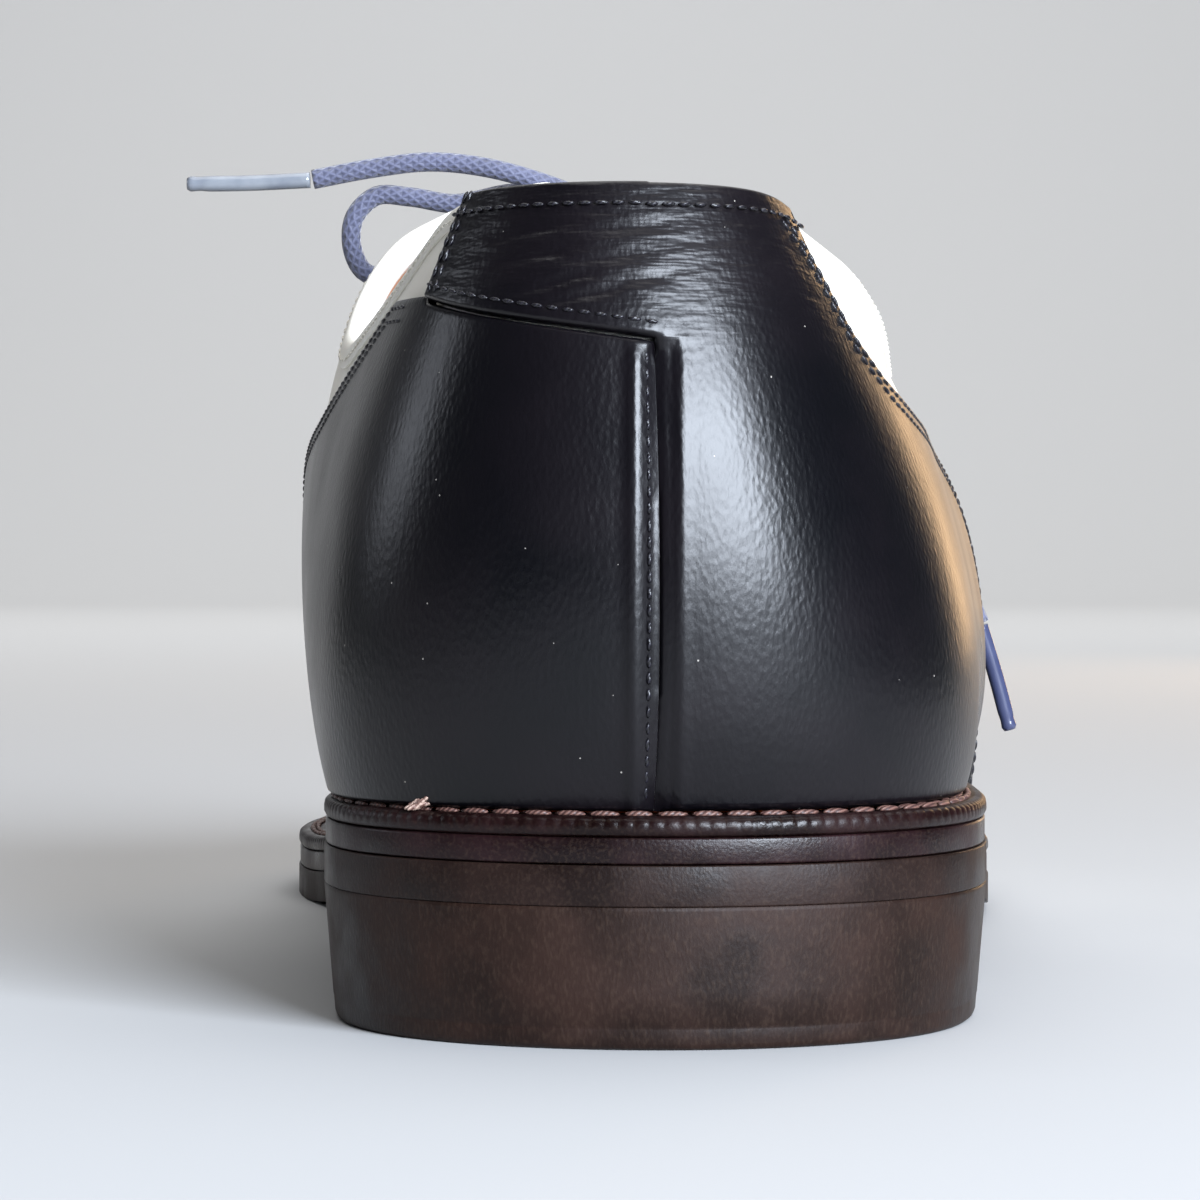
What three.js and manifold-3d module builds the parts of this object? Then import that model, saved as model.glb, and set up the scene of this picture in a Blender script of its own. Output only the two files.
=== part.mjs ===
// A right-foot saddle shoe, lasted on a round plain toe, with a welted double sole and a stacked heel.
// Millimetres. Z is up, the toe points to -Y and the inner (medial) side of the foot is +X.
import * as THREE from "three";
import { mergeVertices } from "three/addons/utils/BufferGeometryUtils.js";
import Module from "manifold-3d";

// Driving dimensions
const LENGTH = 302; // sole, from the back of the heel to the toe
const BALL_WIDTH = 108; // sole across the ball
const HEEL_WIDTH = 79; // sole across the heel
const BALL_SWING = 2.6; // how far the middle of the sole's width lies inwards of the heel's axis
const INSTEP_RISE = 86; // from the welt to the crest of the instep, at the top of the throat
const BACK_RISE = 70; // from the welt to the top of the back
const HEEL_HEIGHT = 15.9; // heel stack below the outsole
const OUTSOLE_THICKNESS = 4.4;
const MIDSOLE_THICKNESS = 3;
const WELT_THICKNESS = 2.5;
const WELT_LEDGE = 5.6; // how far the welt stands out of the upper at the ball
const TOE_SPRING = 11;
const UPPER_WALL = 2.3; // leather and lining together
const OVERLAY_WALL = 1.3; // counter and saddle leather
const OVERLAY_LIFT = 0.42; // counter and saddle above the upper's skin
const TAB_WALL = 1.9; // the folded tab over the back seam
const BINDING_WIDTH = 3.4; // rolled binding of the topline
const BINDING_PROUD = 0.6;
const TONGUE_WALL = 2.4;
const TONGUE_DROP = 0.75; // room for the lace's runs between the tongue and the facings
const INSOLE_PROUD = 2.4; // insole above the top of the welt
const THROAT_GAP = 15; // between the two facings at their top
const EYELET_ROWS = 5;
const EYELET_PITCH = 11.6;
const EYELET_HOLE = 4.4;
const EYELET_INSET = 9; // from the edge of the facing to the centre of a hole
const LACE = 2.7; // round lace
const AGLET = 2.2;
const HEEL_TAPER = 1.3; // how much the heel stack draws in at the floor
const EDGE_STEP = 0.4; // how far the midsole's edge lies behind the welt's
const CLEARANCE = 0.3;

// Places along the foot, as shares of LENGTH from the back of the heel
const BREAST_AT = 0.245;
const SEAT_ENDS_AT = 0.2;
const WAIST_STARTS_AT = 0.2; // from the heel's width
const WAIST_ENDS_AT = 0.5; // to the ball's
const BALL_STARTS_AT = 0.65;
const BALL_ENDS_AT = 0.755;
const THROAT_TOP_AT = 0.378;
const THROAT_FRONT_AT = 0.6;
const TONGUE_TOP_AT = 0.362;
const TONGUE_FRONT_AT = 0.66;
const TOP_EYELET_AT = 0.42;
const COLLAR_LOWEST_AT = 0.25;
const COLLAR_ENDS_AT = 0.39;

// Turns rows of numbers into named columns.
function table(names, rows) {
  return Object.fromEntries(
    names.map((name, column) => [name, rows.map((row) => row[column])]),
  );
}

// The sections of the last, from the toe round to the middle of the back. Each is one curve on
// either side, from the feather line up to the crest, or to the crest's continuation above the
// opening. "at" is a share of LENGTH, "side", "out" and "highOut" of the width there, "rise", "up"
// and "down" of INSTEP_RISE, and "ledge" of WELT_LEDGE.
const CREST = table(
  ["at", "side", "rise"],
  [
    [0.927, 0.051, 0.266],
    [0.914, 0.05, 0.287],
    [0.887, 0.046, 0.324],
    [0.838, 0.042, 0.379],
    [0.772, 0.037, 0.433],
    [0.702, 0.035, 0.501],
    [0.629, 0.035, 0.599],
    [0.546, 0.039, 0.732],
    [0.464, 0.049, 0.867],
    [0.378, 0.063, 0.988],
    [0.291, 0.073, 1.067],
    [0.212, 0.071, 1.119],
    [0.152, 0.061, 1.148],
    [0.119, 0.054, 1.157],
    [0.099, 0.052, 1.159],
    [0.093, 0.051, 1.159],
  ],
);
const SECTION_COLUMNS = [
  "at",
  "side",
  "ledge",
  "out",
  "up",
  "highOut",
  "down",
];
const INNER_SIDE = table(SECTION_COLUMNS, [
  [0.985, 0.056, 0.8, 0.042, 0.134, 0.083, 0],
  [0.965, 0.21, 0.86, 0.042, 0.134, 0.111, 0],
  [0.92, 0.322, 0.93, 0.042, 0.14, 0.148, 0],
  [0.853, 0.394, 0.98, 0.037, 0.14, 0.222, 0],
  [0.78, 0.449, 1, 0.032, 0.14, 0.26, 0],
  [0.705, 0.468, 1, 0.037, 0.14, 0.278, 0.006],
  [0.629, 0.443, 0.93, 0.056, 0.151, 0.287, 0.012],
  [0.546, 0.378, 0.79, 0.11, 0.163, 0.31, 0.02],
  [0.464, 0.323, 0.61, 0.15, 0.18, 0.38, 0.02],
  [0.38, 0.33, 0.46, 0.17, 0.21, 0.5, 0.025],
  [0.298, 0.388, 0.39, 0.204, 0.18, 0.508, 0.14],
  [0.209, 0.459, 0.32, 0.16, 0.22, 0.437, 0.3],
  [0.126, 0.465, 0.4, 0.085, 0.27, 0.372, 0.38],
  [0.065, 0.398, 0.5, 0.088, 0.28, 0.328, 0.35],
  [0.028, 0.228, 0.71, 0.115, 0.28, 0.315, 0.33],
  [0.016, 0, 0.86, 0.124, 0.28, 0.304, 0.32],
]);
const OUTER_SIDE = table(SECTION_COLUMNS, [
  [0.985, -0.056, 0.8, 0.042, 0.134, 0.083, 0],
  [0.965, 0.105, 0.86, 0.042, 0.134, 0.111, 0],
  [0.918, 0.245, 0.89, 0.042, 0.14, 0.148, 0],
  [0.848, 0.33, 0.89, 0.037, 0.14, 0.204, 0],
  [0.772, 0.387, 0.88, 0.032, 0.134, 0.25, 0.006],
  [0.689, 0.418, 0.87, 0.03, 0.134, 0.287, 0.02],
  [0.613, 0.424, 0.86, 0.037, 0.14, 0.302, 0.045],
  [0.536, 0.408, 0.88, 0.055, 0.15, 0.303, 0.08],
  [0.46, 0.384, 0.86, 0.1, 0.163, 0.34, 0.11],
  [0.38, 0.39, 0.82, 0.138, 0.18, 0.448, 0.11],
  [0.298, 0.42, 0.78, 0.172, 0.16, 0.458, 0.29],
  [0.209, 0.45, 0.75, 0.128, 0.2, 0.45, 0.38],
  [0.126, 0.443, 0.77, 0.092, 0.27, 0.362, 0.385],
  [0.065, 0.373, 0.79, 0.092, 0.28, 0.306, 0.355],
  [0.028, 0.215, 0.82, 0.112, 0.28, 0.305, 0.33],
  [0.016, 0, 0.86, 0.124, 0.28, 0.304, 0.32],
]);

// The topline: "at" is a share of LENGTH and "rise" of BACK_RISE.
const TOPLINE_COLUMNS = ["at", "rise"];
const INNER_TOPLINE = table(TOPLINE_COLUMNS, [
  [0.02, 1],
  [0.066, 1.003],
  [0.1, 0.98],
  [0.149, 0.895],
  [0.205, 0.817],
  [0.248, 0.785],
  [0.285, 0.8],
  [0.321, 0.9],
  [0.35, 1.005],
  [0.368, 1.05],
  [0.378, 1.13],
  [0.39, 1.3],
]);
const OUTER_TOPLINE = table(TOPLINE_COLUMNS, [
  [0.02, 1],
  [0.066, 0.985],
  [0.1, 0.942],
  [0.149, 0.862],
  [0.205, 0.785],
  [0.248, 0.75],
  [0.285, 0.77],
  [0.321, 0.855],
  [0.35, 0.965],
  [0.368, 1.04],
  [0.378, 1.13],
  [0.39, 1.3],
]);

// The top edge of the counter, from the corner of the tab forward and down to the welt.
const INNER_COUNTER = table(TOPLINE_COLUMNS, [
  [0.11, 0.825],
  [0.139, 0.773],
  [0.175, 0.72],
  [0.225, 0.659],
  [0.298, 0.595],
  [0.34, 0.5],
  [0.367, 0.37],
  [0.386, 0.22],
  [0.4, 0.08],
]);
const OUTER_COUNTER = table(TOPLINE_COLUMNS, [
  [0.07, 0.962],
  [0.0765, 0.9],
  [0.0795, 0.84],
  [0.0825, 0.767],
  [0.089, 0.732],
  [0.103, 0.688],
  [0.143, 0.646],
  [0.21, 0.625],
  [0.281, 0.6],
  [0.33, 0.53],
  [0.362, 0.39],
  [0.384, 0.23],
  [0.4, 0.08],
]);

// The saddle's back and front edges at the welt, at mid height and at the facing, as shares of
// LENGTH.
const SADDLE_EDGES = table(
  ["back", "front"],
  [
    [0.455, 0.6],
    [0.415, 0.565],
    [0.384, 0.612],
  ],
);

// The tab over the back seam: how many sections it spans to either side of the back, and how high
// its lower edge lies at the inner corner and at the seam, as shares of BACK_RISE.
const TAB_SPAN = 1.8;
const TAB_CORNER_RISE = 0.817;
const TAB_SEAM_RISE = 0.746;

const SECTIONS = CREST.at.length;
const LOOP = 2 * (SECTIONS - 1);
const BACK = SECTIONS - 1;
const SOLE_STACK = OUTSOLE_THICKNESS + MIDSOLE_THICKNESS + WELT_THICKNESS;

function ease(share) {
  const x = Math.min(1, Math.max(0, share));
  return x * x * (3 - 2 * x);
}

function mix(from, to, share) {
  return from + (to - from) * share;
}

// Width that the side shares are taken of: the heel's at the back, the ball's in front.
function widthAt(at) {
  return mix(HEEL_WIDTH, BALL_WIDTH, ease((at - WAIST_STARTS_AT) / (WAIST_ENDS_AT - WAIST_STARTS_AT)));
}

// How high the underside of the outsole runs above the floor.
function arch(at) {
  const shank = (BALL_STARTS_AT - at) / (BALL_STARTS_AT - SEAT_ENDS_AT);
  const spring = Math.max(0, (at - BALL_ENDS_AT) / (1 - BALL_ENDS_AT));
  return HEEL_HEIGHT * ease(shank) + TOE_SPRING * spring * spring;
}

// Top face of the welt, on which the upper stands.
function seat(at) {
  return arch(at) + SOLE_STACK;
}

function atOf(y) {
  return (LENGTH / 2 - y) / LENGTH;
}

// A smooth curve through values at 0, 1, 2 and so on, closed on itself.
function closedSpline(values) {
  const count = values.length;
  let slopes = values.map(() => 0);
  for (let pass = 0; pass < 40; pass += 1) {
    slopes = slopes.map((slope, i) => {
      const before = (i + count - 1) % count;
      const after = (i + 1) % count;
      const rise = 3 * (values[after] - values[before]);
      return (rise - slopes[before] - slopes[after]) / 4;
    });
  }
  return (place) => {
    const wrapped = ((place % count) + count) % count;
    const i = Math.floor(wrapped) % count;
    const after = (i + 1) % count;
    const x = wrapped - Math.floor(wrapped);
    const back = (1 - x) * (1 - x);
    return (
      values[i] * (1 + 2 * x) * back +
      values[after] * (3 - 2 * x) * x * x +
      slopes[i] * x * back -
      slopes[after] * (1 - x) * x * x
    );
  };
}

// A curve through the rows of a table without overshoot, level beyond its ends.
function openCurve(places, values) {
  const last = places.length - 1;
  const steps = places
    .slice(1)
    .map((place, i) => (values[i + 1] - values[i]) / (place - places[i]));
  const slopes = places.map((place, i) => {
    const before = steps[Math.max(0, i - 1)];
    const after = steps[Math.min(last - 1, i)];
    return before * after <= 0 ? 0 : (2 * before * after) / (before + after);
  });
  return (place) => {
    if (place <= places[0]) return values[0];
    if (place >= places[last]) return values[last];
    let i = 0;
    while (place > places[i + 1]) i += 1;
    const width = places[i + 1] - places[i];
    const x = (place - places[i]) / width;
    const back = (1 - x) * (1 - x);
    return (
      values[i] * (1 + 2 * x) * back +
      values[i + 1] * (3 - 2 * x) * x * x +
      slopes[i] * width * x * back -
      slopes[i + 1] * width * (1 - x) * x * x
    );
  };
}

// Both sides of a column end to end: the inner side from toe to back, then the outer side back to
// the toe. A place on this loop is 0 at the toe and BACK at the middle of the back.
function loopOf(inner, outer) {
  return closedSpline([...inner, ...outer.slice(1, -1).reverse()]);
}

function sideLoop(name, scale) {
  const inner = INNER_SIDE[name].map((share, i) => scale(share, INNER_SIDE.at[i], 1));
  const outer = OUTER_SIDE[name].map((share, i) => scale(share, OUTER_SIDE.at[i], -1));
  return loopOf(inner, outer);
}

const crestY = CREST.at.map((at) => LENGTH * (0.5 - at));
const crestX = CREST.at.map((at, i) => CREST.side[i] * widthAt(at));
const crestZ = CREST.at.map((at, i) => seat(at) + CREST.rise[i] * INSTEP_RISE);
const crestSlope = crestY.map((y, i) => {
  const before = Math.max(0, i - 1);
  const after = Math.min(BACK, i + 1);
  return (crestZ[after] - crestZ[before]) / (crestY[after] - crestY[before]);
});
const crestLoops = [crestX, crestY, crestZ, crestSlope].map((values) =>
  loopOf(values, values),
);
const featherX = sideLoop("side", (share, at, sign) => sign * share * widthAt(at));
const featherY = sideLoop("at", (share) => LENGTH * (0.5 - share));
const ledge = sideLoop("ledge", (share) => share * WELT_LEDGE);
const lowOut = sideLoop("out", (share, at) => share * widthAt(at));
const lowUp = sideLoop("up", (share) => share * INSTEP_RISE);
const highOut = sideLoop("highOut", (share, at) => share * widthAt(at));
const highDown = sideLoop("down", (share) => share * INSTEP_RISE);

// The last's surface: place runs round the loop, height from 0 at the feather to 1 at the crest.
function lastPoint(place, height) {
  const [cx, cy, cz, slope] = crestLoops.map((loop) => loop(place));
  const fx = featherX(place);
  const fy = featherY(place);
  const fz = seat((LENGTH / 2 - fy) / LENGTH) + CLEARANCE;
  const span = Math.hypot(fx - cx, fy - cy);
  const dx = (fx - cx) / span;
  const dy = (fy - cy) / span;
  const low = lowOut(place);
  const high = highOut(place);
  const corners = [
    [fx, fy, fz],
    [fx + low * dx, fy + low * dy, fz + lowUp(place)],
    [cx + high * dx, cy + high * dy, cz + high * dy * slope - highDown(place)],
    [cx, cy, cz],
  ];
  const rest = 1 - height;
  const weights = [
    rest ** 3,
    3 * rest * rest * height,
    3 * rest * height * height,
    height ** 3,
  ];
  return new THREE.Vector3(
    ...[0, 1, 2].map((axis) =>
      weights.reduce((sum, weight, i) => sum + weight * corners[i][axis], 0),
    ),
  );
}

// Outward normal of the last. Near the feather it is levelled, so that walls stand flat on the
// welt.
function lastNormal(place, height) {
  const h = Math.min(0.985, Math.max(0.015, height));
  const along = lastPoint(place + 0.02, h).sub(lastPoint(place - 0.02, h));
  const up = lastPoint(place, h + 0.01).sub(lastPoint(place, h - 0.01));
  const normal = along.cross(up).normalize();
  const level = ease(height / 0.16);
  normal.z *= level;
  return normal.normalize();
}

function offLast(place, height, distance) {
  return lastPoint(place, height).addScaledVector(lastNormal(place, height), distance);
}

function isInner(place) {
  return place <= BACK;
}

const toplines = [INNER_TOPLINE, OUTER_TOPLINE].map((rows) =>
  openCurve(rows.at, rows.rise),
);
const counterEdges = [INNER_COUNTER, OUTER_COUNTER].map((rows) =>
  openCurve(rows.at, rows.rise),
);

function curveFor(pair, place) {
  return isInner(place) ? pair[0] : pair[1];
}

function riseToZ(rise) {
  return seat(0) + rise * BACK_RISE;
}

// Half the gap between the facings: widest at the top of the throat, round at its front end.
function throatHalf(at) {
  const narrowest = 0.35;
  const roundEnd = 1 / 9;
  const share = Math.min(1, (THROAT_FRONT_AT - at) / (THROAT_FRONT_AT - THROAT_TOP_AT));
  if (share <= 0) return 0;
  const rounding = Math.sqrt(Math.min(1, share / roundEnd));
  return (THROAT_GAP / 2) * mix(narrowest, 1, share) * rounding;
}

const crestCurveX = openCurve([...CREST.at].reverse(), [...crestX].reverse());

function crestOffset(point) {
  return Math.abs(point.x - crestCurveX(atOf(point.y)));
}

// The height on a section at which a test first holds, found by halving.
function heightWhere(place, test) {
  const steps = 60;
  let low = 0;
  let high = 1;
  for (let i = 1; i <= steps; i += 1) {
    if (test(lastPoint(place, i / steps))) {
      high = i / steps;
      break;
    }
    low = i / steps;
  }
  if (low === 1) return 1;
  for (let pass = 0; pass < 18; pass += 1) {
    const middle = (low + high) / 2;
    if (test(lastPoint(place, middle))) high = middle;
    else low = middle;
  }
  return high;
}

// Where the upper ends on each section: at the topline or the facing, or 1 where it is closed.
function topHeight(place) {
  const topline = curveFor(toplines, place);
  return heightWhere(place, (point) => {
    const at = atOf(point.y);
    const overTopline = at < COLLAR_ENDS_AT && point.z > riseToZ(topline(at));
    const inThroat = at > COLLAR_LOWEST_AT && crestOffset(point) < throatHalf(at);
    return overTopline || inThroat;
  });
}

const topHeights = new Map();

// The same, kept for places met before.
function topOf(place) {
  if (!topHeights.has(place)) topHeights.set(place, topHeight(place));
  return topHeights.get(place);
}

// A sheet of leather: an open skin of outer points, each with its inner partner, closed by walls
// along every free edge.
class Sheet {
  constructor() {
    this.outer = [];
    this.inner = [];
    this.shared = [];
    this.index = new Map();
    this.faces = [];
  }

  vertex(outer, inner) {
    const key = outer
      .toArray()
      .map((value) => Math.round(value * 500))
      .join(" ");
    if (!this.index.has(key)) {
      this.index.set(key, this.outer.length);
      this.outer.push(outer.clone());
      this.inner.push(new THREE.Vector3());
      this.shared.push(0);
    }
    const i = this.index.get(key);
    this.inner[i].add(inner);
    this.shared[i] += 1;
    return i;
  }

  triangle(a, b, c) {
    if (a !== b && b !== c && c !== a) this.faces.push([a, b, c]);
  }

  // Corners in turn, seen anticlockwise from outside.
  quad(a, b, c, d, flip) {
    if (flip) {
      this.triangle(a, b, d);
      this.triangle(b, c, d);
    } else {
      this.triangle(a, b, c);
      this.triangle(a, c, d);
    }
  }

  geometry() {
    const count = this.outer.length;
    const inner = this.inner.map((sum, i) => sum.divideScalar(this.shared[i]));
    const edges = new Set();
    this.faces.forEach(([a, b, c]) => {
      edges.add(a + "_" + b);
      edges.add(b + "_" + c);
      edges.add(c + "_" + a);
    });
    const triangles = [];
    this.faces.forEach(([a, b, c]) => {
      triangles.push(a, b, c, a + count, c + count, b + count);
      [
        [a, b],
        [b, c],
        [c, a],
      ].forEach(([from, to]) => {
        if (edges.has(to + "_" + from)) return;
        triangles.push(to, from, from + count, to, from + count, to + count);
      });
    });
    return indexedGeometry([...this.outer, ...inner], triangles);
  }
}

function indexedGeometry(points, triangles) {
  const geometry = new THREE.BufferGeometry();
  geometry.setFromPoints(points);
  geometry.setIndex(triangles);
  return geometry;
}

// Fills a sheet from a grid of points. pointAt gives the outer and inner point of a grid corner,
// and wanted says which cells there are.
function gridSheet(columns, rows, pointAt, wanted = () => true) {
  const sheet = new Sheet();
  const ids = [];
  for (let i = 0; i <= columns; i += 1) {
    ids.push([]);
    for (let j = 0; j <= rows; j += 1) {
      const touched = [
        [i - 1, j - 1],
        [i, j - 1],
        [i - 1, j],
        [i, j],
      ].some(([a, b]) => a >= 0 && b >= 0 && a < columns && b < rows && wanted(a, b));
      ids[i].push(touched ? sheet.vertex(...pointAt(i, j)) : -1);
    }
  }
  for (let i = 0; i < columns; i += 1) {
    for (let j = 0; j < rows; j += 1) {
      if (!wanted(i, j)) continue;
      sheet.quad(ids[i][j], ids[i + 1][j], ids[i + 1][j + 1], ids[i][j + 1], false);
    }
  }
  return sheet;
}

const wasm = await Module();
wasm.setup();

function toSolid(geometry) {
  const bare = geometry.clone();
  bare.deleteAttribute("normal");
  bare.deleteAttribute("uv");
  const merged = mergeVertices(bare, 1e-4);
  return new wasm.Manifold(
    new wasm.Mesh({
      numProp: 3,
      vertProperties: new Float32Array(merged.attributes.position.array),
      triVerts: new Uint32Array(merged.index.array),
    }),
  );
}

function toGeometry(solid) {
  const mesh = solid.getMesh();
  const geometry = new THREE.BufferGeometry();
  geometry.setAttribute("position", new THREE.BufferAttribute(mesh.vertProperties, 3));
  geometry.setIndex(new THREE.BufferAttribute(mesh.triVerts, 1));
  return geometry;
}

// Columns of the upper, as places on the inner side: closer at the toe, the heel and the corner
// of the facing. The outer side mirrors them.
const HALF_PLACES = [
  0, 0.5, 1, 1.5, 2, 2.5, 3, 3.6, 4.3, 5, 5.6, 6.1, 6.5, 7, 7.6, 8.2, 8.6, 8.8, 9, 9.2, 9.4, 9.7,
  10.1, 10.6, 11.1, 11.6, 12.1, 12.7, 13.2, 13.6, 14, 14.5, 15,
];
const ROUND_PLACES = [
  ...HALF_PLACES,
  ...HALF_PLACES.slice(0, -1)
    .reverse()
    .map((place) => LOOP - place),
];
const BODY_ROWS = 9;
const BINDING_START = 1.2; // sections ahead of the tab's corner

// The height on a section that lies a given distance below another.
function heightBelow(place, top, distance) {
  const end = lastPoint(place, top);
  let low = 0;
  let high = top;
  for (let pass = 0; pass < 18; pass += 1) {
    const middle = (low + high) / 2;
    if (lastPoint(place, middle).distanceTo(end) > distance) low = middle;
    else high = middle;
  }
  return (low + high) / 2;
}

// The white upper: vamp and quarters in one hollow wall, open at the collar and throat and
// underneath. The topline of the quarters carries a rolled binding, raised as a step.
function upperGeometry() {
  const band = [
    { share: 0.18, proud: 1 },
    { share: 0.82, proud: 1 },
    { share: 1, proud: 0.25 },
  ];
  const rows = BODY_ROWS + band.length;
  const sheet = gridSheet(ROUND_PLACES.length - 1, rows, (i, j) => {
    const place = ROUND_PLACES[i];
    const top = topOf(place);
    const bandStart = heightBelow(place, top, BINDING_WIDTH);
    const pastTab = Math.abs(place - BACK) > TAB_SPAN + BINDING_START;
    const onCollar = top < 1 && atOf(lastPoint(place, top).y) < THROAT_TOP_AT;
    const proud = pastTab && onCollar ? BINDING_PROUD : 0;
    if (j <= BODY_ROWS) {
      const height = (bandStart * j) / BODY_ROWS;
      return [offLast(place, height, 0), offLast(place, height, -UPPER_WALL)];
    }
    const step = band[j - BODY_ROWS - 1];
    const height = mix(bandStart, top, step.share);
    return [
      offLast(place, height, proud * step.proud),
      offLast(place, height, -UPPER_WALL),
    ];
  });
  return sheet.geometry();
}

// Height on a section at which a curve of rises over "at" is reached, no higher than the topline.
function edgeHeight(place, curve) {
  const top = topOf(place);
  const height = heightWhere(place, (point) => point.z > riseToZ(curve(atOf(point.y))));
  return Math.min(height, top);
}

// A place so near another that the two sections lie a given distance apart at mid height.
function placeBeside(place, step, distance) {
  const middle = 0.5;
  const apart = lastPoint(place, middle).distanceTo(lastPoint(place + step, middle));
  return place + (step * distance) / apart;
}

const TAB_CORNER = BACK - TAB_SPAN;
const COUNTER_FRONT = 8.8; // the section at which the counter runs out at the welt
const COUNTER_FOOT = 0.01;
const counterPlaces = HALF_PLACES.filter((place) => place >= COUNTER_FRONT);

function tabLine(place) {
  const share = Math.min(1, Math.abs(BACK - place) / TAB_SPAN);
  return mix(TAB_SEAM_RISE, TAB_CORNER_RISE, share);
}

// The inner counter panel, from the back seam forward, its top edge tucked below the tab.
function innerCounterGeometry() {
  const rows = 7;
  const seam = placeBeside(BACK, -0.05, CLEARANCE / 2);
  const places = [...counterPlaces.slice(0, -1), seam];
  const sheet = gridSheet(places.length - 1, rows, (i, j) => {
    const place = places[i];
    const underTab = place >= TAB_CORNER;
    const tuck = CLEARANCE / BACK_RISE;
    const top = underTab
      ? edgeHeight(place, () => tabLine(place) - tuck)
      : edgeHeight(place, counterEdges[0]);
    const height = mix(COUNTER_FOOT, Math.max(top, 3 * COUNTER_FOOT), j / rows);
    return overlayPair(place, height, OVERLAY_WALL);
  });
  return sheet.geometry();
}

function overlayPair(place, height, wall) {
  return [
    offLast(place, height, OVERLAY_LIFT + wall),
    offLast(place, height, OVERLAY_LIFT),
  ];
}

// The outer counter panel, which runs on over the top of the back as a tab that laps the inner
// panel.
function outerCounterGeometry() {
  const lineRow = 5;
  const rows = 8;
  const tabPlaces = HALF_PLACES.filter((place) => place >= TAB_CORNER);
  const ahead = counterPlaces.slice(0, -1).reverse();
  const places = [...tabPlaces, ...ahead.map((place) => LOOP - place)];
  const backColumn = places.indexOf(BACK);
  const seam = placeBeside(BACK, 0.05, CLEARANCE / 2);
  const lineShare = edgeHeight(BACK, () => TAB_SEAM_RISE) / topOf(BACK);
  const sheet = gridSheet(
    places.length - 1,
    rows,
    (i, j) => {
      const onTab = j >= lineRow;
      const place = i === backColumn && !onTab ? seam : places[i];
      const pastTab = place > LOOP - TAB_CORNER;
      const edge = pastTab ? edgeHeight(place, counterEdges[1]) : topOf(place);
      const top = Math.max(edge, 3 * COUNTER_FOOT);
      const line = i < backColumn ? edgeHeight(place, () => tabLine(place)) : lineShare * top;
      const height = onTab
        ? mix(line, top, (j - lineRow) / (rows - lineRow))
        : mix(COUNTER_FOOT, line, j / lineRow);
      const lap = i < backColumn ? (rows - j) / (rows - lineRow) : 0;
      return overlayPair(place, height, mix(OVERLAY_WALL, TAB_WALL, lap));
    },
    (i, j) => i >= backColumn || j >= lineRow,
  );
  return sheet.geometry();
}

const sectionOfCrest = openCurve(
  [...CREST.at].reverse(),
  CREST.at.map((at, i) => i).reverse(),
);

// The point of a side that lies across from the crest at a share of LENGTH, a given distance out.
function besideCrest(at, outer, distance) {
  const section = sectionOfCrest(at);
  const place = outer ? LOOP - section : section;
  const height = heightWhere(place, (point) => crestOffset(point) < distance);
  return { place, height };
}

const saddleBack = openCurve([0, 0.5, 1], SADDLE_EDGES.back);
const saddleFront = openCurve([0, 0.5, 1], SADDLE_EDGES.front);

// One side of the saddle, from the facing's edge down to the welt.
function saddleGeometry(outer) {
  const columns = 8;
  const rows = 10;
  const foot = 0.01;
  const sheet = gridSheet(columns, rows, (i, j) => {
    const share = j / rows;
    const along = outer ? 1 - i / columns : i / columns;
    const at = mix(saddleFront(share), saddleBack(share), along);
    const section = sectionOfCrest(at);
    const place = outer ? LOOP - section : section;
    const top = Math.min(topOf(place), heightWhere(place, (p) => crestOffset(p) < CLEARANCE));
    const edge = heightBelow(place, top, CLEARANCE);
    return overlayPair(place, mix(foot, edge, share), OVERLAY_WALL);
  });
  return sheet.geometry();
}

const TONGUE_HALVES = table(
  ["at", "half"],
  [
    [0.36, 0.23],
    [0.5, 0.205],
    [0.66, 0.14],
  ],
);
const tongueHalf = openCurve(
  TONGUE_HALVES.at,
  TONGUE_HALVES.half.map((share) => share * BALL_WIDTH),
);

// The tongue lies under both facings and shows in the throat between them. "half" is a share of
// BALL_WIDTH.
function tongueGeometry() {
  const columns = 14;
  const rows = 8;
  const depth = UPPER_WALL + TONGUE_DROP;
  const sheet = gridSheet(columns, rows, (i, j) => {
    const at = mix(TONGUE_FRONT_AT, TONGUE_TOP_AT, i / columns);
    const across = 1 - (2 * j) / rows;
    const distance = Math.abs(across) * tongueHalf(at);
    const { place, height } = besideCrest(at, across < 0, Math.max(distance, 0.05));
    const spot = distance === 0 ? { place: sectionOfCrest(at), height: 1 } : { place, height };
    const sunk = depth + TONGUE_DROP * ease((TOP_EYELET_AT - at) / (TOP_EYELET_AT - TONGUE_TOP_AT));
    return [
      offLast(spot.place, spot.height, -sunk),
      offLast(spot.place, spot.height, -sunk - TONGUE_WALL),
    ];
  });
  return sheet.geometry();
}

// A point of the feather line moved outwards in plan.
function outlinePoint(place, distance) {
  const step = 0.02;
  const alongX = featherX(place + step) - featherX(place - step);
  const alongY = featherY(place + step) - featherY(place - step);
  const length = Math.hypot(alongX, alongY);
  return new THREE.Vector2(
    featherX(place) + (distance * alongY) / length,
    featherY(place) - (distance * alongX) / length,
  );
}

function pairAt(plan, zTop, zBottom) {
  const at = atOf(plan.y);
  return [
    new THREE.Vector3(plan.x, plan.y, zTop(at)),
    new THREE.Vector3(plan.x, plan.y, zBottom(at)),
  ];
}

const SOLE_PLACES = [
  0, 0.6, 1.2, 1.8, 2.4, 3.2, 4, 4.8, 5.6, 6.4, 7.2, 8, 8.8, 9.6, 10.4, 11.2, 12, 12.7, 13.3, 13.8,
  14.3, 14.7, 15,
];

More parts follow.
